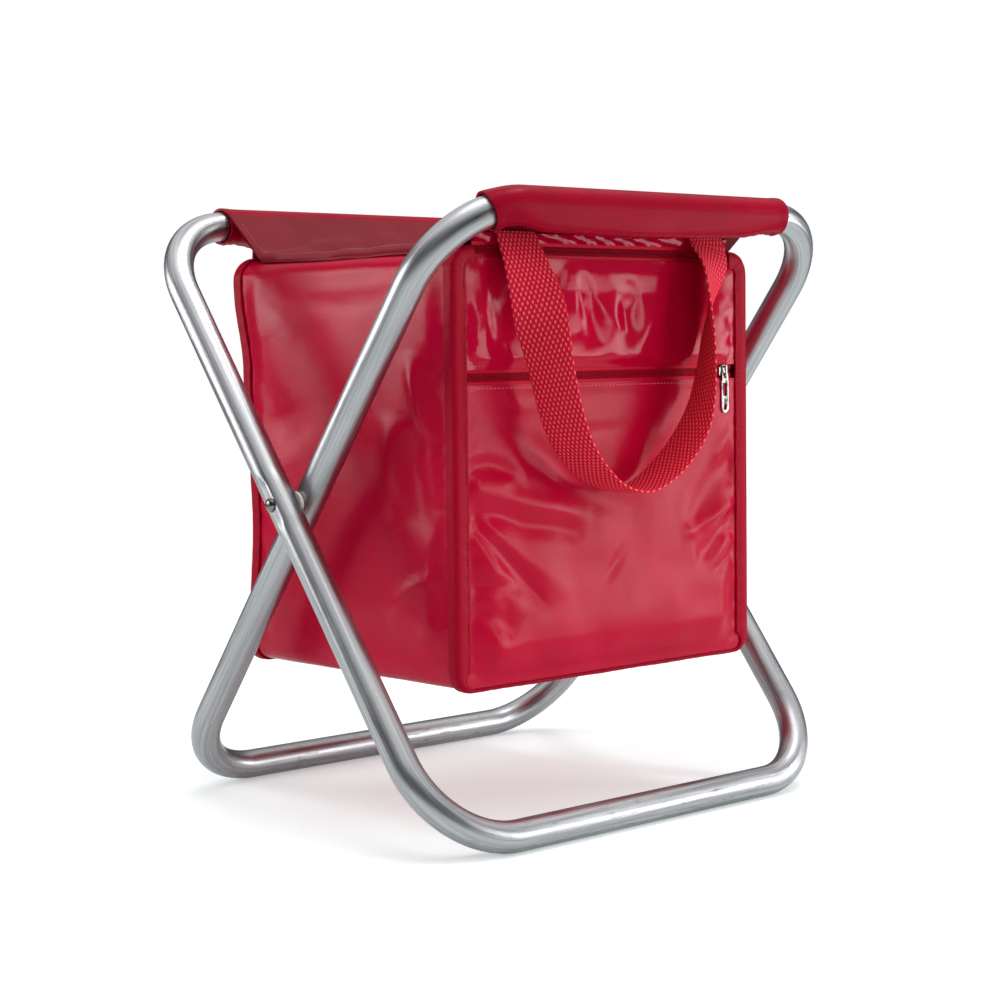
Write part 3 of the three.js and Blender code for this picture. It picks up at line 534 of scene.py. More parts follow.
def rod_faces(first, rings):
    """Faces of a short rod of six sides, from its first point's number."""
    faces = []
    for start in range(first, first + 6 * (rings - 1), 6):
        for k in range(6):
            a, b = start + k, start + (k + 1) % 6
            faces.append((a, b, b + 6, a + 6))
    faces.append(tuple(range(first + 5, first - 1, -1)))
    faces.append(tuple(range(first + 6 * rings - 6, first + 6 * rings)))
    return faces


def places_at(at, lengths, route):
    return np.stack([np.interp(at, lengths, column) for column in np.transpose(route)], axis=1)


def stitch_line(name, route, out, thread, pitch, width):
    """Stitches at an even pitch along a route: short lengths of thread that dip in at both ends."""
    length = pitch - stitch_gap
    route = np.array(route, float)
    lengths = lengths_along(route)
    at = np.arange(pitch / 2 * mm, lengths[-1], pitch * mm)
    ways = places_at(at + 0.5 * mm, lengths, route) - places_at(at - 0.5 * mm, lengths, route)
    out = Vector(out).normalized()
    points, faces = [], []
    for middle, way in zip(places_at(at, lengths, route), ways):
        way = Vector(way).normalized()
        across = way.cross(out)
        faces.extend(rod_faces(len(points), 5))
        for step, size in ((-1, 0.25), (-0.6, 0.85), (0, 1), (0.6, 0.85), (1, 0.25)):
            dip = width * mm * 0.35 * abs(step) ** 3
            ring_at = Vector(middle) + way * step * length * mm / 2 - out * dip
            for angle in np.arange(6) * pi / 3:
                reach = across * cos(angle) + out * sin(angle)
                points.append(ring_at + reach * width * mm / 2 * size)
    return new_piece(name, points, faces, thread)


pink_thread = sewing_thread("pink thread", (0.74, 0.15, 0.19))
red_thread = sewing_thread("red thread", (0.30, 0.004, 0.02))
seat_folds = (
    (4.5, 1.98, 0.3, -121, 84, -70, 98, 10, 108),
    (3.5, 1.54, 0.3, -121, 80, -60, 86, 20, 92),
    (4, -1.32, 0.2, -118, 88, -75, 106, -30, 116),
    (5, 1.32, 0.3, 121, 82, 60, 95, -10, 104),
    (5, 1.54, 0.3, -121, -82, -60, -92, 10, -99),
    (4, 1.76, 0.3, 121, -84, 70, -97, 20, -108),
)


def seat_roll(x, y):
    """The cloth rolls up beside the hem and then turns down over the bag's rounded shoulder."""
    along = (seat_flat_half - y * np.sign(-x)) / (2 * seat_flat_half)
    flat = 1 - ease(abs(y), seat_flat_half - 8 * mm, seat_flat_half + 6 * mm)
    height = roll_height * ease(along, 0.02, 0.6) * flat
    past = np.clip(abs(x) - shoulder_start, 0, None)
    drop = shoulder_radius - np.sqrt(shoulder_radius ** 2 - past ** 2)
    creases = 1 + 0.35 * np.sin(y / (8.5 * mm) + abs(x) / (9 * mm) + 1.3 * np.sin(y / (23 * mm)))
    return height * creases * np.exp(-((abs(x) - roll_place) / roll_reach) ** 2) - drop * flat


seat_x = np.linspace(-seat_half, seat_half, seat_columns)
seat_lines = np.array([seat_line(x) for x in seat_x])
seat_y, seat_z = seat_lines[..., 0], seat_lines[..., 1]
seat_across = np.repeat(seat_x[:, None], seat_y.shape[1], axis=1)
seat_edge = ease(seat_half - abs(seat_across), 0, 8 * mm)
seat_ends = ease(seat_half_length - abs(seat_y), 3 * mm, 16 * mm)
seat_relief = folds_of(seat_across, seat_y, seat_folds) + waves(seat_across, seat_y, 3, 60, 0.5)
seat_relief = seat_relief + waves(seat_across, seat_y, 4, 24, 0.12) + 0.25 * mm
seat_lift = seat_relief * seat_edge * seat_ends + seat_roll(seat_across, seat_y)
hem_edge = seat_half - hem_inset
hem_step = 0.35 * mm * ease(abs(seat_across), hem_edge, hem_edge + 1 * mm)
seat_top = np.stack([seat_across, seat_y, seat_z + seat_lift + hem_step], axis=-1)
slope = np.gradient(seat_z, axis=1) / np.gradient(seat_y, axis=1)
seat_back_z = seat_z - seat_cloth * np.sqrt(1 + slope ** 2) + np.minimum(0.5 * seat_lift, seat_lift)
seat_low = np.stack([seat_across, seat_y, seat_back_z], axis=-1)
seat = cloth_shell("seat_panel.cloth", seat_top, seat_low, seat_satin_in_painted_shade)
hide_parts("seat_panel")


def fold_with_seat(piece):
    """The piece's place is baked into its mesh."""
    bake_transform(piece)


fold_with_seat(seat)
for label, column in (("left", 2), ("right", seat_columns - 3)):
    route = seat_top[column, 4:-4] + (0, 0, 0.1 * mm)
    fold_with_seat(stitch_line(f"seat_hem_{label}.stitches", route, (0, 0, 1), pink_thread, 3.0, 0.5))

# Bag gusset. One strip of cloth makes the bag's two sides and its bottom. Foam behind it keeps
# the sides full, the bottom sags, and the strip puckers along the seams.
bag_half = 127 * mm
bag_half_depth = 103.5 * mm
bag_base = 89 * mm
bag_side_top = 349.6 * mm
bag_cloth = 1 * mm
top_radius = 13 * mm
base_radius = 11 * mm
base_sag = 4 * mm
back_swell = 9 * mm
back_waist = 6.9 * mm
waist_end_share = 0.72
swell_turn_share = 0.62
seam_gap = 0.3 * mm
side_room = 0.7 * mm
side_puff = 3.4 * mm
outline_corner_steps = 9


def back_shift(height):
    """How far the bag's back stands out of its plane at a height."""
    share = (np.asarray(height) - bag_base) / (bag_side_top - bag_base)
    waist = -back_waist * np.sin(pi * np.clip(share / waist_end_share, 0, 1)) ** 2
    above = np.clip((share - waist_end_share) / (1 - waist_end_share), 0, 1)
    return waist + back_swell * np.sin(pi * swell_turn_share * above) ** 2


def bag_outline(inset=0.0, reach=0.0):
    """Points round the bag's right side, base and left side, with their outward directions."""
    top_arc, base_arc = bag_side_top - top_radius, bag_base + base_radius
    half = [(bag_half - top_radius - reach, bag_side_top - inset, 0, 1)] if reach else []

    def corner(height, radius, first, last):
        for turn in np.linspace(first, last, outline_corner_steps):
            a, b = cos(turn), sin(turn)
            x, z = bag_half - radius + (radius - inset) * a, height + (radius - inset) * b
            half.append((x, z, a, b))

    corner(top_arc, top_radius, pi / 2, 0)
    half.extend((bag_half - inset, z, 1, 0) for z in np.linspace(top_arc, base_arc, 66)[1:-1])
    corner(base_arc, base_radius, 0, -pi / 2)
    half.extend((x, bag_base + inset, 0, -1) for x in np.linspace(bag_half - base_radius, 0, 30)[1:-1])
    other = [(-x, z, -a, b) for x, z, a, b in reversed(half)]
    return np.array(half + [(0, bag_base + inset, 0, -1)] + other)


def held_in(out):
    """Where the cloth goes inwards, it stops short of the foam behind it."""
    return np.where(out < 0, side_room * np.tanh(out / side_room), out)


left_side_folds = (
    (4.5, 3, 0, -66, 288, -72, 268, -79, 252, -94, 238),
    (4.5, -2.25, 0, -78, 292, -84, 274, -92, 258),
    (8, -3.3, 0, -72, 244, -69, 220, -76, 196, -88, 184),
    (9, 2.25, 0, -52, 250, -46, 220, -54, 190),
    (3.6, 1.95, 1, -106, 159, -84, 154, -61, 144, -42, 128),
    (3.6, -1.5, 1, -106, 151, -84, 146, -62, 134),
    (3.2, 1.5, 1, -106, 134, -88, 129, -70, 120),
    (3.2, -1.05, 1, -106, 126, -90, 121, -76, 112),
    (13, -1.95, 0, 84, 300, 74, 262, 50, 226),
    (16, 1.8, 0, 60, 318, 70, 286, 60, 250),
    (7, -1.95, 0, 84, 338, 0, 330, -84, 336),
    (7, 1, 0, 84, 108, 0, 104, -84, 100),
)
right_side_folds = (
    (6, 1.5, 1, -100, 170, -60, 160, -20, 140),
    (10, -1.6, 0.6, -98, 260, -50, 240, 20, 235),
    (12, 1.7, 0, 90, 300, 50, 270, 30, 220),
    (8, -1.5, 1, 95, 190, 60, 170, 20, 150),
    (4.4, 2.2, 1, -106, 228, -86, 220, -66, 204, -58, 184),
    (3.8, -1.8, 1, -106, 216, -88, 208, -74, 194),
    (3.6, 1.9, 1, -106, 150, -84, 148, -60, 140),
    (3.4, -1.5, 1, -106, 141, -86, 138, -64, 130),
    (5, 2.2, 0.8, 104, 246, 86, 232, 74, 210, 72, 186),
    (4, -1.7, 0.8, 104, 232, 90, 218, 82, 198),
    (3.8, 1.8, 1, 104, 156, 82, 152, 56, 142),
    (7, -1.8, 0, 84, 338, 0, 330, -84, 336),
    (15, 1.6, 0, 0, 320, -30, 280, -40, 230),
)


def gusset_grid(inset):
    outline = bag_outline(inset)
    shares = np.concatenate([[-1, -0.985, -0.96], np.linspace(-0.93, 0.93, 52), [0.96, 0.985, 1]])
    x, z, share = np.broadcast_arrays(outline[:, :1], outline[:, 1:2], shares)
    y = (bag_half_depth - bag_cloth - seam_gap) * share + np.clip(share, 0, 1) * back_shift(z)
    hidden = ease(1 - abs(share), 0.06, 0.22)
    puff = side_puff * hidden * ease(z, bag_base + base_radius, bag_base + 50 * mm)
    puff *= ease(-z, -bag_side_top, -bag_side_top + 40 * mm)
    folds = np.where(x < 0, folds_of(y, z, left_side_folds), folds_of(y, z, right_side_folds))
    pucker = 0.35 * mm * np.sin(z / (2.6 * mm) + 3 * np.sin(z / (17 * mm)))
    pucker *= ease(1 - abs(share), 0.05, 0.08) * (1 - ease(1 - abs(share), 0.1, 0.24))
    uneven = waves(y + 0.4 * x, z + 0.2 * x, 11, 90, 0.35) + waves(y, z, 12, 24, 0.05)
    out = held_in(puff + (folds * hidden + pucker) * abs(outline[:, 2:3]) + uneven * hidden)
    sag = base_sag * (1 - share ** 2) ** 2 * (1 - np.clip(abs(x) / (bag_half - base_radius), 0, 1) ** 2)
    x = x + out * outline[:, 2:3]
    z = z + out * outline[:, 3:4] * 0.4 - sag * (outline[:, 3:4] < -0.5)
    return np.stack([x, y, z], axis=-1)


gusset = cloth_shell("bag_gusset.cloth", gusset_grid(0), gusset_grid(bag_cloth), satin)


def fit_to_bag(piece, node=None, body="bag"):
    """The piece rides on the bag, or on another body, with a mesh of its own. With a node, it stands for
    that solid.
    """
    place_piece(piece, body, node)
    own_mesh(piece)


fit_to_bag(gusset, "bag_gusset")

# Back panel. It is drawn in at the bag's waist and stands out at the top, where the rear strip
# joins it to the seat.
handle_half_span = 83 * mm
panel_lift = 0.8 * mm
back_puff = 2.2 * mm
back_low_fade = (100 * mm, 118 * mm)
back_high_fade = (322 * mm, 338 * mm)
back_strap_fade = (296 * mm, 322 * mm)


def panel_grid(low, high, steps, corners, columns):
    """Places over a flat panel as wide as the bag, with its corners rounded below and above."""
    z = np.linspace(low, high, steps)[:, None]
    half = np.full(z.shape, bag_half)
    for corner, gap in zip(corners, (z - low, high - z)):
        half -= corner - np.sqrt(corner ** 2 - np.clip(corner - gap, 0, None) ** 2)
    return half * np.linspace(-1, 1, columns), np.repeat(z, columns, axis=1)


def hung_sheet(node, suffix, x, y, z, thick, finish):
    """A sheet of the bag, from the places on its face. Its back lies further along Y by thick."""
    face = np.stack([x, y, z], axis=-1)
    piece = cloth_shell(f"{node}.{suffix}", face, face + (0, thick, 0), finish)
    fit_to_bag(piece, node)
    return piece


def near_handle(x, reach, power=2):
    """1 where a strap's end is sewn in, and fading away from it."""
    return np.exp(-((abs(x) - handle_half_span) / reach) ** power)


back_fold_table = (
    (6, 2, 1, -112, 180, -70, 170, -20, 140),
    (8, -2.2, 1, 112, 230, 70, 215, 10, 200),
    (6, 1.8, 1, 112, 150, 80, 130, 40, 122),
    (4, 1.8, 1, 120, 208, 96, 204, 70, 214),
    (4.6, -2.2, 1, 120, 197, 92, 189, 60, 186, 28, 180),
    (4.2, 1.9, 0.9, 120, 176, 100, 160, 84, 140, 74, 124),
    (3.2, -1.4, 1, 118, 160, 104, 146, 92, 128),
    (5, 2, 0.9, -120, 226, -100, 214, -84, 196, -70, 176),
    (3.6, -1.6, 1, -120, 212, -102, 198, -88, 180),
    (3.6, 1.7, 1, -120, 170, -96, 164, -66, 156),
    (3.2, -1.2, 1, -120, 157, -98, 151, -72, 147),
    (12, 1.6, 0, -60, 250, 0, 238, 60, 252),
    (7, -1.6, 0.5, -70, 232, 0, 217, 66, 236),
    (8, 1.4, 0.6, -40, 322, -20, 300, -26, 270),
    (8, 1.4, 0.6, 40, 324, 34, 300, 46, 272),
)
back_x, back_z = panel_grid(bag_base, bag_side_top, 88, (base_radius, top_radius), 86)
back_inner = ease(bag_half - abs(back_x), 9 * mm, 26 * mm) * ease(back_z, *back_low_fade)
back_inner = back_inner * (1 - ease(back_z, *back_high_fade))
back_folds = folds_of(back_x, back_z, back_fold_table)
back_folds += waves(back_x, back_z, 21, 80, 1.2) + waves(back_x, back_z, 22, 30, 0.3)
strap_end = near_handle(back_x, 22 * mm) * ease(back_z, *back_strap_fade)
back_lift = held_in(panel_lift + (back_folds + back_puff) * (1 - strap_end))
back_y = bag_half_depth + back_shift(back_z) + back_inner * back_lift
back_panel = hung_sheet("bag_back_panel", "cloth", back_x, back_y, back_z, -bag_cloth, satin)

# Front of the bag. The pocket panel covers the lower part. A glossier upper panel runs from the
# pocket's zip to the main zip, and a full sheet lies behind both.
pocket_zip_height = 273.6 * mm
main_zip_height = 348.6 * mm
zip_window_half = 4.6 * mm
upper_corner = 9.6 * mm
pull_room = 0.7 * mm
free_room = 3.6 * mm
pocket_fullness = 5.8 * mm
upper_fullness = 3.2 * mm
handle_centre = 4.5 * mm
binding_edge = 8.5 * mm
pocket_fill_fade = (108 * mm, 246 * mm)
upper_fill_fade = (278 * mm, 324 * mm)
pocket_pull_band = (226 * mm, 247 * mm)
upper_pull_band = (300 * mm, 322 * mm)
front_strap_fade = (318 * mm, 338 * mm)
pocket_folds = (
    (3.6, -2, 1, -118, 221, -99, 222, -85, 217, -74, 211),
    (4, 1.7, 1, -118, 211, -94, 210, -70, 219),
    (4.6, -2.7, 1, -118, 196, -92, 192, -72, 185, -49, 182, -25, 175),
    (4.6, 1.8, 0.8, -118, 204, -84, 200, -50, 193, -18, 187),
    (3.2, -2.2, 1, -116, 190, -99, 174, -84, 160, -67, 142, -56, 128),
    (4.6, 2, 0.8, -118, 181, -104, 164, -88, 146, -78, 130),
    (5, 1.4, 0.6, -104, 182, -84, 170, -60, 156, -40, 138),
    (2.8, -1.3, 1, -114, 150, -92, 150, -80, 145),
    (4, -1.2, 1, -112, 136, -98, 130, -84, 119),
    (4.5, 0.9, 1, -112, 126, -100, 117, -88, 106),
    (7, -3.2, 0.8, 113, 212, 98, 204, 84, 190, 72, 172),
    (3.2, 2.1, 1, 116, 188, 91, 179, 62, 169),
    (4.6, -2.2, 1, 116, 176, 103, 172, 90, 160, 76, 154),
    (2.8, -1.4, 1, 116, 158, 104, 151, 93, 142),
    (3, 1.1, 1, 116, 167, 100, 160, 88, 146),
    (3.5, 1, 1, 116, 236, 106, 228, 98, 216),
    (9, -0.9, 0, -2, 158, 4, 152),
    (6, -2, 0.9, -100, 268, -86, 252, -68, 234, -42, 214, -12, 196, 36, 186),
    (6, -1.8, 0.9, 54, 268, 50, 246, 38, 226, 22, 212),
    (16, 2, 0, -60, 256, -20, 248, 34, 244),
    (6, 1, 0.5, -116, 262, 0, 263, 90, 262),
    (16, 1.6, 0, -90, 118, 0, 126, 90, 132),
)
upper_folds = (
    (6, -1.9, 0.9, -92, 344, -90, 318, -90, 298, -95, 280),
    (8, 1.3, 0.8, -116, 342, -109, 320, -110, 303, -122, 284),
    (4.5, 1.1, 0.7, -31, 342, -31, 320, -28, 300),
    (6, 2.1, 0.7, -14, 340, -1, 318, 4, 304, 0, 284),
    (6.5, 2.3, 0.7, 10, 343, 36, 332, 44, 318, 30, 298, 16, 284),
    (5.5, -1.8, 0.5, 22, 334, 20, 318, 14, 300),
    (5, -1.3, 0.5, -22, 336, -16, 312, -14, 292),
    (7, -2.4, 0.9, 70, 342, 64, 316, 60, 298, 54, 280),
    (8, 1, 0.6, 100, 340, 98, 312, 104, 286),
    (8, 1.1, 0.5, -62, 332, -64, 306, -70, 286),
)


def falling(value, low, high):
    """A share that falls evenly from 1 at low to 0 at high."""
    return np.clip((high - value) / (high - low), 0, 1)


def pocket_fill(z):
    """The pocket's lower half is fullest, and rolls under towards the base."""
    return pocket_fullness * ease(z, bag_base, bag_base + 26 * mm) * falling(z, *pocket_fill_fade)


def upper_fill(z):
    """The upper panel leans back towards the main zip."""
    return upper_fullness * falling(z, *upper_fill_fade)


def front_piece(name, low, high, steps, corners, folds, fill, seed, finish):
    """A panel of the bag's front. Its folds fade out at its seams, the zips and the handle's ends."""
    x, z = panel_grid(low, high, steps, corners, 110)
    inwards = bag_half - abs(x)
    base_band = 3 * mm if low == bag_base else 0
    seam = ease(inwards, binding_edge, 17 * mm) * ease(high - z, 0, 9 * mm)
    seam = seam * ease(z - low, base_band, base_band + 7 * mm)
    near_end = near_handle(x - handle_centre, 20 * mm) * ease(z, *front_strap_fade)
    full = fill(z) * ease(inwards, binding_edge, 30 * mm)
    relief = folds_of(x, z, folds) + waves(x, z, seed, 60, 0.45) + waves(x, z, seed + 1, 22, 0.12)
    pull_band = upper_pull_band if low > pocket_zip_height else pocket_pull_band
    room = pull_room + free_room * (1 - ease(z, *pull_band))
    out = (room * np.tanh(relief / room) + full) * seam * (1 - near_end)
    tucks = 0.3 * mm * np.sin(z / (2.4 * mm) + 3 * np.sin(z / (15 * mm))) * ease(inwards, 8 * mm, 10 * mm)
    tucks = tucks * (1 - ease(inwards, 12 * mm, 22 * mm)) * seam ** 0.3
    panel = hung_sheet(name, "cloth", x, -bag_half_depth - out - tucks, z, bag_cloth, finish)


front_piece("bag_pocket_panel", bag_base, pocket_zip_height - zip_window_half, 84, (base_radius, 0),
            pocket_folds, pocket_fill, 31, satin)
front_piece("bag_front_upper", pocket_zip_height + zip_window_half, main_zip_height - zip_window_half, 34,
            (0, upper_corner), upper_folds, upper_fill, 41, glossy)

# Linings. The full front sheet, the foam sheets, the film liner and its lid stay inside the bag,
# and the bag's top lies under the seat.
foam_colour = (0.86, 0.86, 0.83)
film_colour = (0.76, 0.78, 0.80)


def cell_foam():
    finish = new_finish("white cell foam", foam_colour, 0.9)
    inputs = {"Vector": coordinates(finish), "Scale": 900}
    cells = add_node(finish, "ShaderNodeTexVoronoi", inputs).outputs["Distance"]
    wire(finish, "Base Color", mixed_colour(finish, cells, (0.80, 0.80, 0.77), foam_colour))
    raised(finish, cells, 0.2 * mm, 0.7)
    return finish


foam = cell_foam()
film = grained(
    "heat sealed film", film_colour, 0.25, (90, 6, 0.6), (0.5 * mm, 0.7), dulled=(0.3, 0.7, 0.16, 0.34))
for side in ("front", "back", "left", "right", "bottom", "top"):
    foam_sheet = broken_edges("foam_" + side, "sheet", foam, 0.6 * mm)
    fit_to_bag(foam_sheet, "foam_" + side)
for node in ("liner_tub", "liner_lid"):
    fit_to_bag(broken_edges(node, "film", film, 0.2 * mm), node)
for node, flat, under in (
        ("bag_front_backing", (251.4 * mm, 255.8 * mm), "foam_front"),
        ("bag_top_panel", (227.4 * mm, 195.2 * mm), "foam_top")):
    plain_sheet = broken_edges(node, "cloth", satin, 0.3 * mm)
    fit_to_bag(plain_sheet, node)

# Top strips. A strip of glossy cloth joins the main zip to the seat in front, and a plain strip
# joins the back panel to it behind. Both are gathered a little where they are sewn.
strip_tuck = 1.8 * mm


def top_strip(name, finish, side):
    low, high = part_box(name)
    top = high.z - strip_tuck
    x, z = np.meshgrid(np.linspace(low.x, high.x, 120), np.linspace(low.z, top, 9))
    gather = 0.45 * mm * np.sin(x / (3.6 * mm) + 2.5 * np.sin(x / (21 * mm)) + (z - low.z) / (4 * mm))
    gather = gather * np.sin(pi * (z - low.z) / (top - low.z))
    near_end = near_handle(x + side * handle_centre, 18 * mm, 4)
    face_y = (low.y if side < 0 else high.y) + side * gather * (1 - near_end)
    strip = hung_sheet(name, "cloth", x, face_y, z, -side * bag_cloth, finish)


top_strip("bag_top_strip", glossy, -1)
top_strip("bag_back_strip", satin, 1)

# Bindings. A folded woven tape closes the front seam and the rear seam, all round the side and
# the base. It is sewn through close to its inner edge, and the thread draws it into small tucks.
base_tuck = 0.9
seam_inset = 7.9 * mm
seam_proud = 1.25 * mm
under_slope = -0.6
tape_colour = (0.38, 0.001, 0.020)
tape_deep = (0.31, 0.001, 0.015)


def woven_tape(name, light, deep, rib):
    finish = new_finish(name, light, 0.5, gloss=0.055)
    wave = {"Vector": coordinates(finish, "UV"), "Scale": rib, "Distortion": 0.4}
    ribs = add_node(finish, "ShaderNodeTexWave", wave, wave_type="BANDS", bands_direction="X")
    grain = noise_of(finish, 500, 4)
    fine = maths(finish, "ADD", ribs.outputs["Fac"], grain)
    wire(finish, "Base Color", mixed_colour(finish, ranged(finish, fine, 0.5, 1.4), deep, light))
    wire(finish, "Roughness", ranged(finish, grain, 0.3, 0.7, 0.36, 0.52))
    raised(finish, fine, 0.05 * mm, 0.6)
    return finish


def capped_tube(grid, u=None, v=None):
    """Faces and UVs of a tube of rings that is closed at both its ends."""
    faces, uvs = woven_grid(grid, False, True, u, v)
    rows, columns = grid.shape[:2]
    faces += [list(range(columns)), list(range(rows * columns - 1, (rows - 1) * columns - 1, -1))]
    return faces, uvs + [(0, 0)] * (2 * columns)


tape = woven_tape("woven tape", tape_colour, tape_deep, 175)
binding_profile = [
    (-9.6, -0.3), (-9.7, -0.8), (-9.3, -1.25), (-8.6, -1.35), (-7.9, -1.1), (-7.2, -1.25), (-5.6, -1.55),
    (-3.4, -1.75), (-1.4, -1.7), (-0.2, -1.45), (0.3, -1.1), (0.9, -0.9), (1.35, -0.4), (1.55, 0.5),
    (1.6, 2.2), (1.5, 4.2), (1.3, 5.6), (1.4, 6.4), (1.15, 7.0), (0.6, 7.1), (0.3, 6.9), (0.3, 3.5),
    (0.3, 0.6), (0.3, -0.3), (-1.5, -0.3), (-5.0, -0.3),
]


def binding(name, side):
    """The tape along one seam. Gives the seam's outline, and how far it stands out at a height."""
    shift = back_shift if side > 0 else (lambda height: 0.0)
    outline = bag_outline(reach=3 * mm)
    lengths = lengths_along(outline[:, :2])
    even = np.linspace(0, lengths[-1], 420)
    outline = places_at(even, lengths, outline)
    rings = []
    for place, (x, z, a, b) in zip(even, outline):
        tuck = 0.16 * sin(place / (2.3 * mm) + 4 * sin(place / (19 * mm)))
        swell = 0.12 * sin(place / (9 * mm) + 1)
        ring = []
        for out, deep in binding_profile:
            if out < 0:
                out *= 1 - base_tuck * max(0, -b)
            grow = tuck * (0.4 if out > -5 else 1) + swell
            outward = (out + (grow if out > 1.2 else 0)) * mm
            depth = (deep - (grow if deep < -0.9 else 0)) * mm
            height = z + outward * b
            ring.append((x + outward * a, side * (bag_half_depth - depth + float(shift(height))), height))
        rings.append(ring)
    grid = np.array(rings)
    faces, uvs = capped_tube(grid)
    fit_to_bag(new_piece(name + ".tape", grid, faces, tape, uvs, 60), name)
    return outline, shift


for name, side in (("front_binding", -1), ("rear_binding", 1)):
    outline, shift = binding(name, side)
    row = [(x - seam_inset * a, side * (bag_half_depth + seam_proud + float(shift(z - seam_inset * b))),
            z - seam_inset * b) for x, z, a, b in outline]
    side_ends = [k for k, point in enumerate(outline) if point[3] <= under_slope]
    for label, part in (("right", row[:side_ends[0]]), ("left", row[side_ends[-1] + 1:])):
        seam_row = stitch_line(f"{name}_{label}.stitches", part, (0, side, 0), red_thread, 3.2, 0.5)
        fit_to_bag(seam_row)

# Zips. Each has a woven tape and two rows of nylon coil that hook together, and the pocket's has
# two rows of pale stitches through the cloth beside it. Slider and pull are nickel plated.
coil_pitch = 1.5 * mm
coil_wire = 0.42 * mm
coil_depth = 0.62 * mm
zip_tape_thick = 0.5 * mm
zip_row_half = 118 * mm
zip_row_gap = 2 * mm
coil_colour = (0.36, 0.002, 0.018)

coil_finish = grained("nylon coil", coil_colour, 0.45, (700, 2), (0.05 * mm, 0.5),
                      (coil_colour, (0.48, 0.004, 0.028)), gloss=0.05)
# The zip tape is painted lighter than the cloth, as painted light that makes up for the shade in the zip's
# recess.
lightened_zip_tape = woven_tape("zip tape lightened as painted light", (0.72, 0.004, 0.036), (0.62, 0.003, 0.030), 275)


def zip_half(node, tooth_side):
    """Tape with a bound row of coil. tooth_side is 1 where the coil lies on the tape's upper edge."""
    low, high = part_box(node)
    edge, far = (high.z, low.z) if tooth_side > 0 else (low.z, high.z)
    x, z = np.meshgrid(np.linspace(low.x, high.x, 90), np.linspace(far, edge - tooth_side * 0.9 * mm, 8))
    face_y = high.y - 0.6 * mm + 0.06 * mm * np.sin(x / (5 * mm) + 60 * z)
    hung_sheet(node, "tape", x, face_y, z, zip_tape_thick, lightened_zip_tape)
    points, faces = [], []
    middle_y = (low.y + high.y - 0.4 * mm) / 2
    for tooth in range(int((high.x - low.x) / coil_pitch) - 1):
        at = low.x + (tooth + (1.25 if tooth_side > 0 else 0.75)) * coil_pitch
        faces.extend(rod_faces(len(points), 4))
        for share, deep in ((0, 0.55), (0.3, 0.95), (0.7, 1), (1, 0.8)):
            height = edge + tooth_side * (0.7 * share - 1.8 * (1 - share)) * mm
            for turn in np.arange(6) * pi / 3:
                y = middle_y - coil_depth * deep * sin(turn)
                points.append((at + coil_wire * cos(turn), y, height))
    fit_to_bag(new_piece(node + ".coil", points, faces, coil_finish))


for zip_name in ("pocket_zip", "main_zip"):
    zip_half(zip_name + "_upper_half", -1)
    zip_half(zip_name + "_lower_half", 1)
    for part in (zip_name + "_slider", zip_name + "_pull"):
        fit_to_bag(broken_edges(part, "plated", steel, 0.14 * mm), part, part)
for label, side in (("upper", 1), ("lower", -1)):
    height = pocket_zip_height + side * (zip_window_half + zip_row_gap)
    row = [(x, -bag_half_depth - 0.12 * mm, height) for x in (-zip_row_half, zip_row_half)]
    zip_row = stitch_line(f"pocket_zip_{label}.stitches", row, (0, -1, 0), pink_thread, 3.1, 0.75)
    fit_to_bag(zip_row)

# Handles. Each is a length of 32 mm woven webbing, sewn in under the seat. It hangs in a loop
# and turns as it falls, so that its lowest part stands edge on.
webbing_width = 32 * mm
webbing_thick = 2.0 * mm
handle_drop = 157.2 * mm
handle_bulge = 24.5 * mm
handle_seam_depth = 105.1 * mm
handle_top = 359.3 * mm
# The knots' pale pink is partly the weave's own paler thread and partly a painted highlight on the raised
# knots.
knot_tint_and_highlight = (0.95, 0.17, 0.19)
webbing_deep = (0.68, 0.002, 0.030)
handle_route = [
    (-1, 0, 0, 0), (-1, 0.12, 0.04, 0.02), (-0.995, 0.4, 0.13, 0.11), (-0.985, 0.7, 0.26, 0.34),
    (-0.955, 0.82, 0.39, 0.66), (-0.905, 0.9, 0.53, 0.84), (-0.85, 0.96, 0.66, 0.86),
    (-0.745, 0.97, 0.79, 0.88), (-0.56, 0.91, 0.895, 0.92), (-0.33, 0.82, 0.97, 0.98),
    (-0.06, 0.77, 1, 0.98), (0.2, 0.77, 0.955, 0.98), (0.42, 0.8, 0.87, 1.01), (0.58, 0.84, 0.77, 1.08),
    (0.69, 0.83, 0.65, 1.2), (0.765, 0.76, 0.51, 1.3), (0.825, 0.64, 0.375, 1.4), (0.885, 0.54, 0.245, 1.58),
    (0.96, 0.4, 0.12, 1.82), (0.998, 0.12, 0.04, 1.97), (1, 0, 0, 2),
]


def woven_webbing():
    finish = new_finish("woven webbing", webbing_deep, 0.62, gloss=0.07)
    place = coordinates(finish, "UV")
    parts = add_node(finish, "ShaderNodeSeparateXYZ", {"Vector": place}).outputs
    along = maths(finish, "COSINE", maths(finish, "MULTIPLY", parts["X"], 2 * pi / (5.6 * mm)))
    across = maths(finish, "COSINE", maths(finish, "MULTIPLY", parts["Y"], 2 * pi / (3.2 * mm)))
    knots = maths(finish, "MULTIPLY", along, across)
    fuzz = noise_of(finish, 1500, 3)
    # Painted highlight: the knots are tinted towards pale pink where they stand up, on top of the weave's
    # own paler thread.
    bright = ranged(finish, knots, 0.15, 0.75)
    bright = maths(finish, "ADD", bright, ranged(finish, fuzz, 0.3, 0.7, -0.15, 0.15))
    wire(finish, "Base Color", mixed_colour(finish, bright, webbing_deep, knot_tint_and_highlight))
    wire(finish, "Roughness", ranged(finish, fuzz, 0.3, 0.7, 0.5, 0.7))
    raised(finish, maths(finish, "ADD", knots, maths(finish, "MULTIPLY", fuzz, 0.3)), 0.35 * mm, 0.8)
    return finish


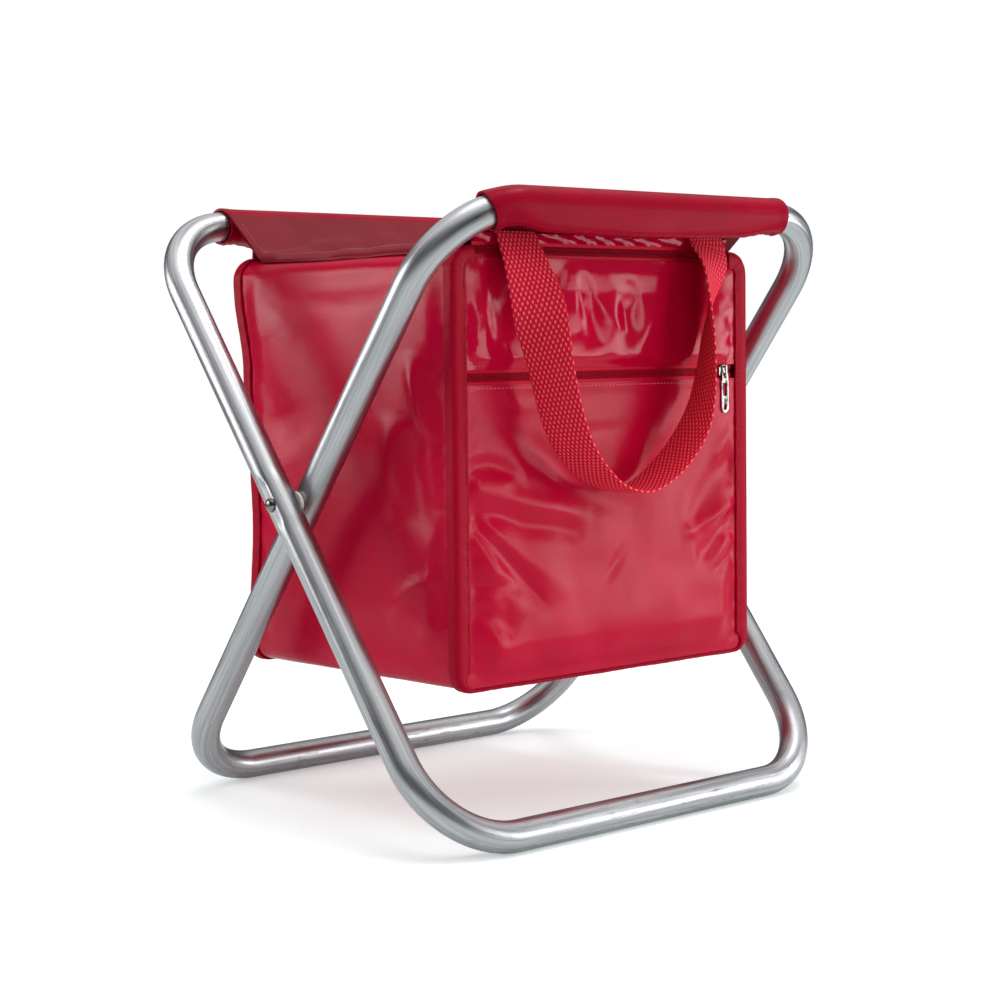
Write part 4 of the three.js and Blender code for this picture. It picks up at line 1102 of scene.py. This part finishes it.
def smooth_route(table, steps):
    """A smooth curve through the rows of a table, even in the rows' count."""
    rows = np.array(table, float)
    padded = np.vstack([2 * rows[0] - rows[1], rows, 2 * rows[-1] - rows[-2]])
    out = []
    for t in np.linspace(0, len(rows) - 1, steps):
        i = min(int(t), len(rows) - 2)
        f = t - i
        a, b, c, d = padded[i:i + 4]
        curve = (2 * a - 5 * b + 4 * c - d) * f ** 2 + (3 * b - 3 * c + d - a) * f ** 3
        out.append(0.5 * (2 * b + (c - a) * f + curve))
    return np.array(out)


def unit_rows(rows):
    return rows / np.linalg.norm(rows, axis=1)[:, None]


def rounded(values, power):
    return np.sign(values) * abs(values) ** power


def handle_grid():
    """Rings round the strap, how far along it each is, and how far across it their points are."""
    x, y, z, turn = smooth_route(handle_route, 190).T
    centre = np.stack([handle_centre + x * handle_half_span, -handle_seam_depth - y * handle_bulge,
                       handle_top - z * handle_drop], axis=1)
    tangent = unit_rows(np.gradient(centre, axis=0))
    turn = turn * pi / 2
    wide = np.stack([np.cos(turn), -np.sin(turn), np.zeros(len(turn))], axis=1)
    wide = unit_rows(wide - tangent * np.sum(wide * tangent, axis=1)[:, None])
    thick = np.cross(tangent, wide)
    angles = np.linspace(0, 2 * pi, 41)[:-1] + 0.03
    flat = rounded(np.cos(angles), 0.35) * webbing_width / 2
    edge = rounded(np.sin(angles), 0.5) * webbing_thick / 2
    rings = centre[:, None] + flat[None, :, None] * wide[:, None] + edge[None, :, None] * thick[:, None]
    return rings, lengths_along(centre), np.append(flat, flat[0])


webbing = woven_webbing()
handle_points, handle_lengths, handle_across = handle_grid()
handle_faces, handle_uvs = capped_tube(handle_points, handle_lengths, handle_across)
rear_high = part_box("rear_handle")[1]
front_low, front_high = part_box("front_handle")
rear_points = handle_points * half_turn + (0, rear_high.y + front_low.y, rear_high.z - front_high.z)
for name, grid in (("front_handle", handle_points), ("rear_handle", rear_points)):
    strap = new_piece(name + ".webbing", grid, handle_faces, webbing, handle_uvs, 60)
    fit_to_bag(strap, name, name)

# Studio. A white floor that keeps a soft shadow, a white surround, and soft lamps. Dark
# screens round the stool stand out of sight, and show only as the dark lines in its reflections.
surround_level = 0.74
floor_mirrored = 0.22
strip_distance = 1.66


def seen_share(holder, glossy_share):
    """1 for what the camera sees, straight or through clear things, and less for mirrored light."""
    path = add_node(holder, "ShaderNodeLightPath").outputs
    mirrored = maths(holder, "MULTIPLY", path["Is Glossy Ray"], glossy_share)
    seen = maths(holder, "MAXIMUM", path["Is Camera Ray"], mirrored)
    return maths(holder, "MAXIMUM", seen, path["Is Transmission Ray"])


def white_floor():
    finish = new_finish("white floor", (0.86, 0.86, 0.86), 0.9, gloss=0.1)
    shader_of(finish).inputs["Emission Color"].default_value = (1, 1, 1, 1)
    away = add_node(finish, "ShaderNodeVectorMath", {0: coordinates(finish)}, operation="LENGTH")
    faded = ranged(finish, away.outputs["Value"], 0.55, 1.5)
    wire(finish, "Base Color", mixed_colour(finish, faded, (0.80, 0.86, 0.86), (0, 0, 0)))
    seen = seen_share(finish, floor_mirrored)
    glow = maths(finish, "MULTIPLY", seen, ranged(finish, faded, 0, 1, 0.3, 1))
    wire(finish, "Emission Strength", glow)
    return finish


floor_half = 6.0
floor_sides = ((-1, -1), (1, -1), (1, 1), (-1, 1))
floor_points = [(x * floor_half, y * floor_half, 0) for x, y in floor_sides]
new_piece("floor", floor_points, [(0, 1, 2, 3)], white_floor())

world = bpy.data.worlds.new("studio")
scene.world = world
world.use_nodes = True
background = world.node_tree.nodes["Background"].inputs
background["Color"].default_value = (1, 1, 1, 1)
surround = ranged(world, seen_share(world, 1), 0, 1, surround_level, 1)
world.node_tree.links.new(surround, background["Strength"])


def soft_lamp(name, place, aim, width, height, power):
    lamp = bpy.data.lights.new(name, "AREA")
    lamp.shape = "RECTANGLE"
    lamp.size, lamp.size_y, lamp.energy = width, height, power
    stand(name, lamp, place, aim)


def round_the_stool(distance, degrees, height):
    turn = radians(degrees)
    return (distance * cos(turn), distance * sin(turn), height)


soft_lamp("right lamp", (1.15, -1.2, 0.20), (0, 0, 0.2), 1.3, 0.36, 9.5)
soft_lamp("left lamp", (-1.15, 1.15, 0.52), (0, 0, 0.28), 0.9, 0.5, 9.5)
soft_lamp("overhead lamp", (-0.2, -0.3, 2.2), (0, 0, 0.2), 1.0, 1.0, 11)
soft_lamp("seat lamp", (0.80, -0.22, 1.9), (0, -0.1, 0.36), 0.5, 0.3, 6)
for strip_name, turn in (("near strip lamp", -65), ("far strip lamp", -31)):
    soft_lamp(strip_name, round_the_stool(strip_distance, turn, 0.72), (0, 0, 0.3), 0.26, 0.55, 2.6)

screen_colour = (0.10, 0.10, 0.105)
screen_distance = 1.9
screen_top = 1.5
screen_finish = new_finish("dark screen", screen_colour, 1.0, gloss=0.0)
for screen_name, first, last in (("near screen", 150, 330), ("far screen", -30, 150)):
    turns = np.linspace(first, last, 40)
    wall = np.array([[round_the_stool(screen_distance, turn, z) for z in (0, screen_top)] for turn in turns])
    screen = new_piece(screen_name, wall, woven_grid(wall)[0], screen_finish)
    screen.visible_camera = screen.visible_diffuse = screen.visible_shadow = False
scene.view_settings.view_transform = "Standard"
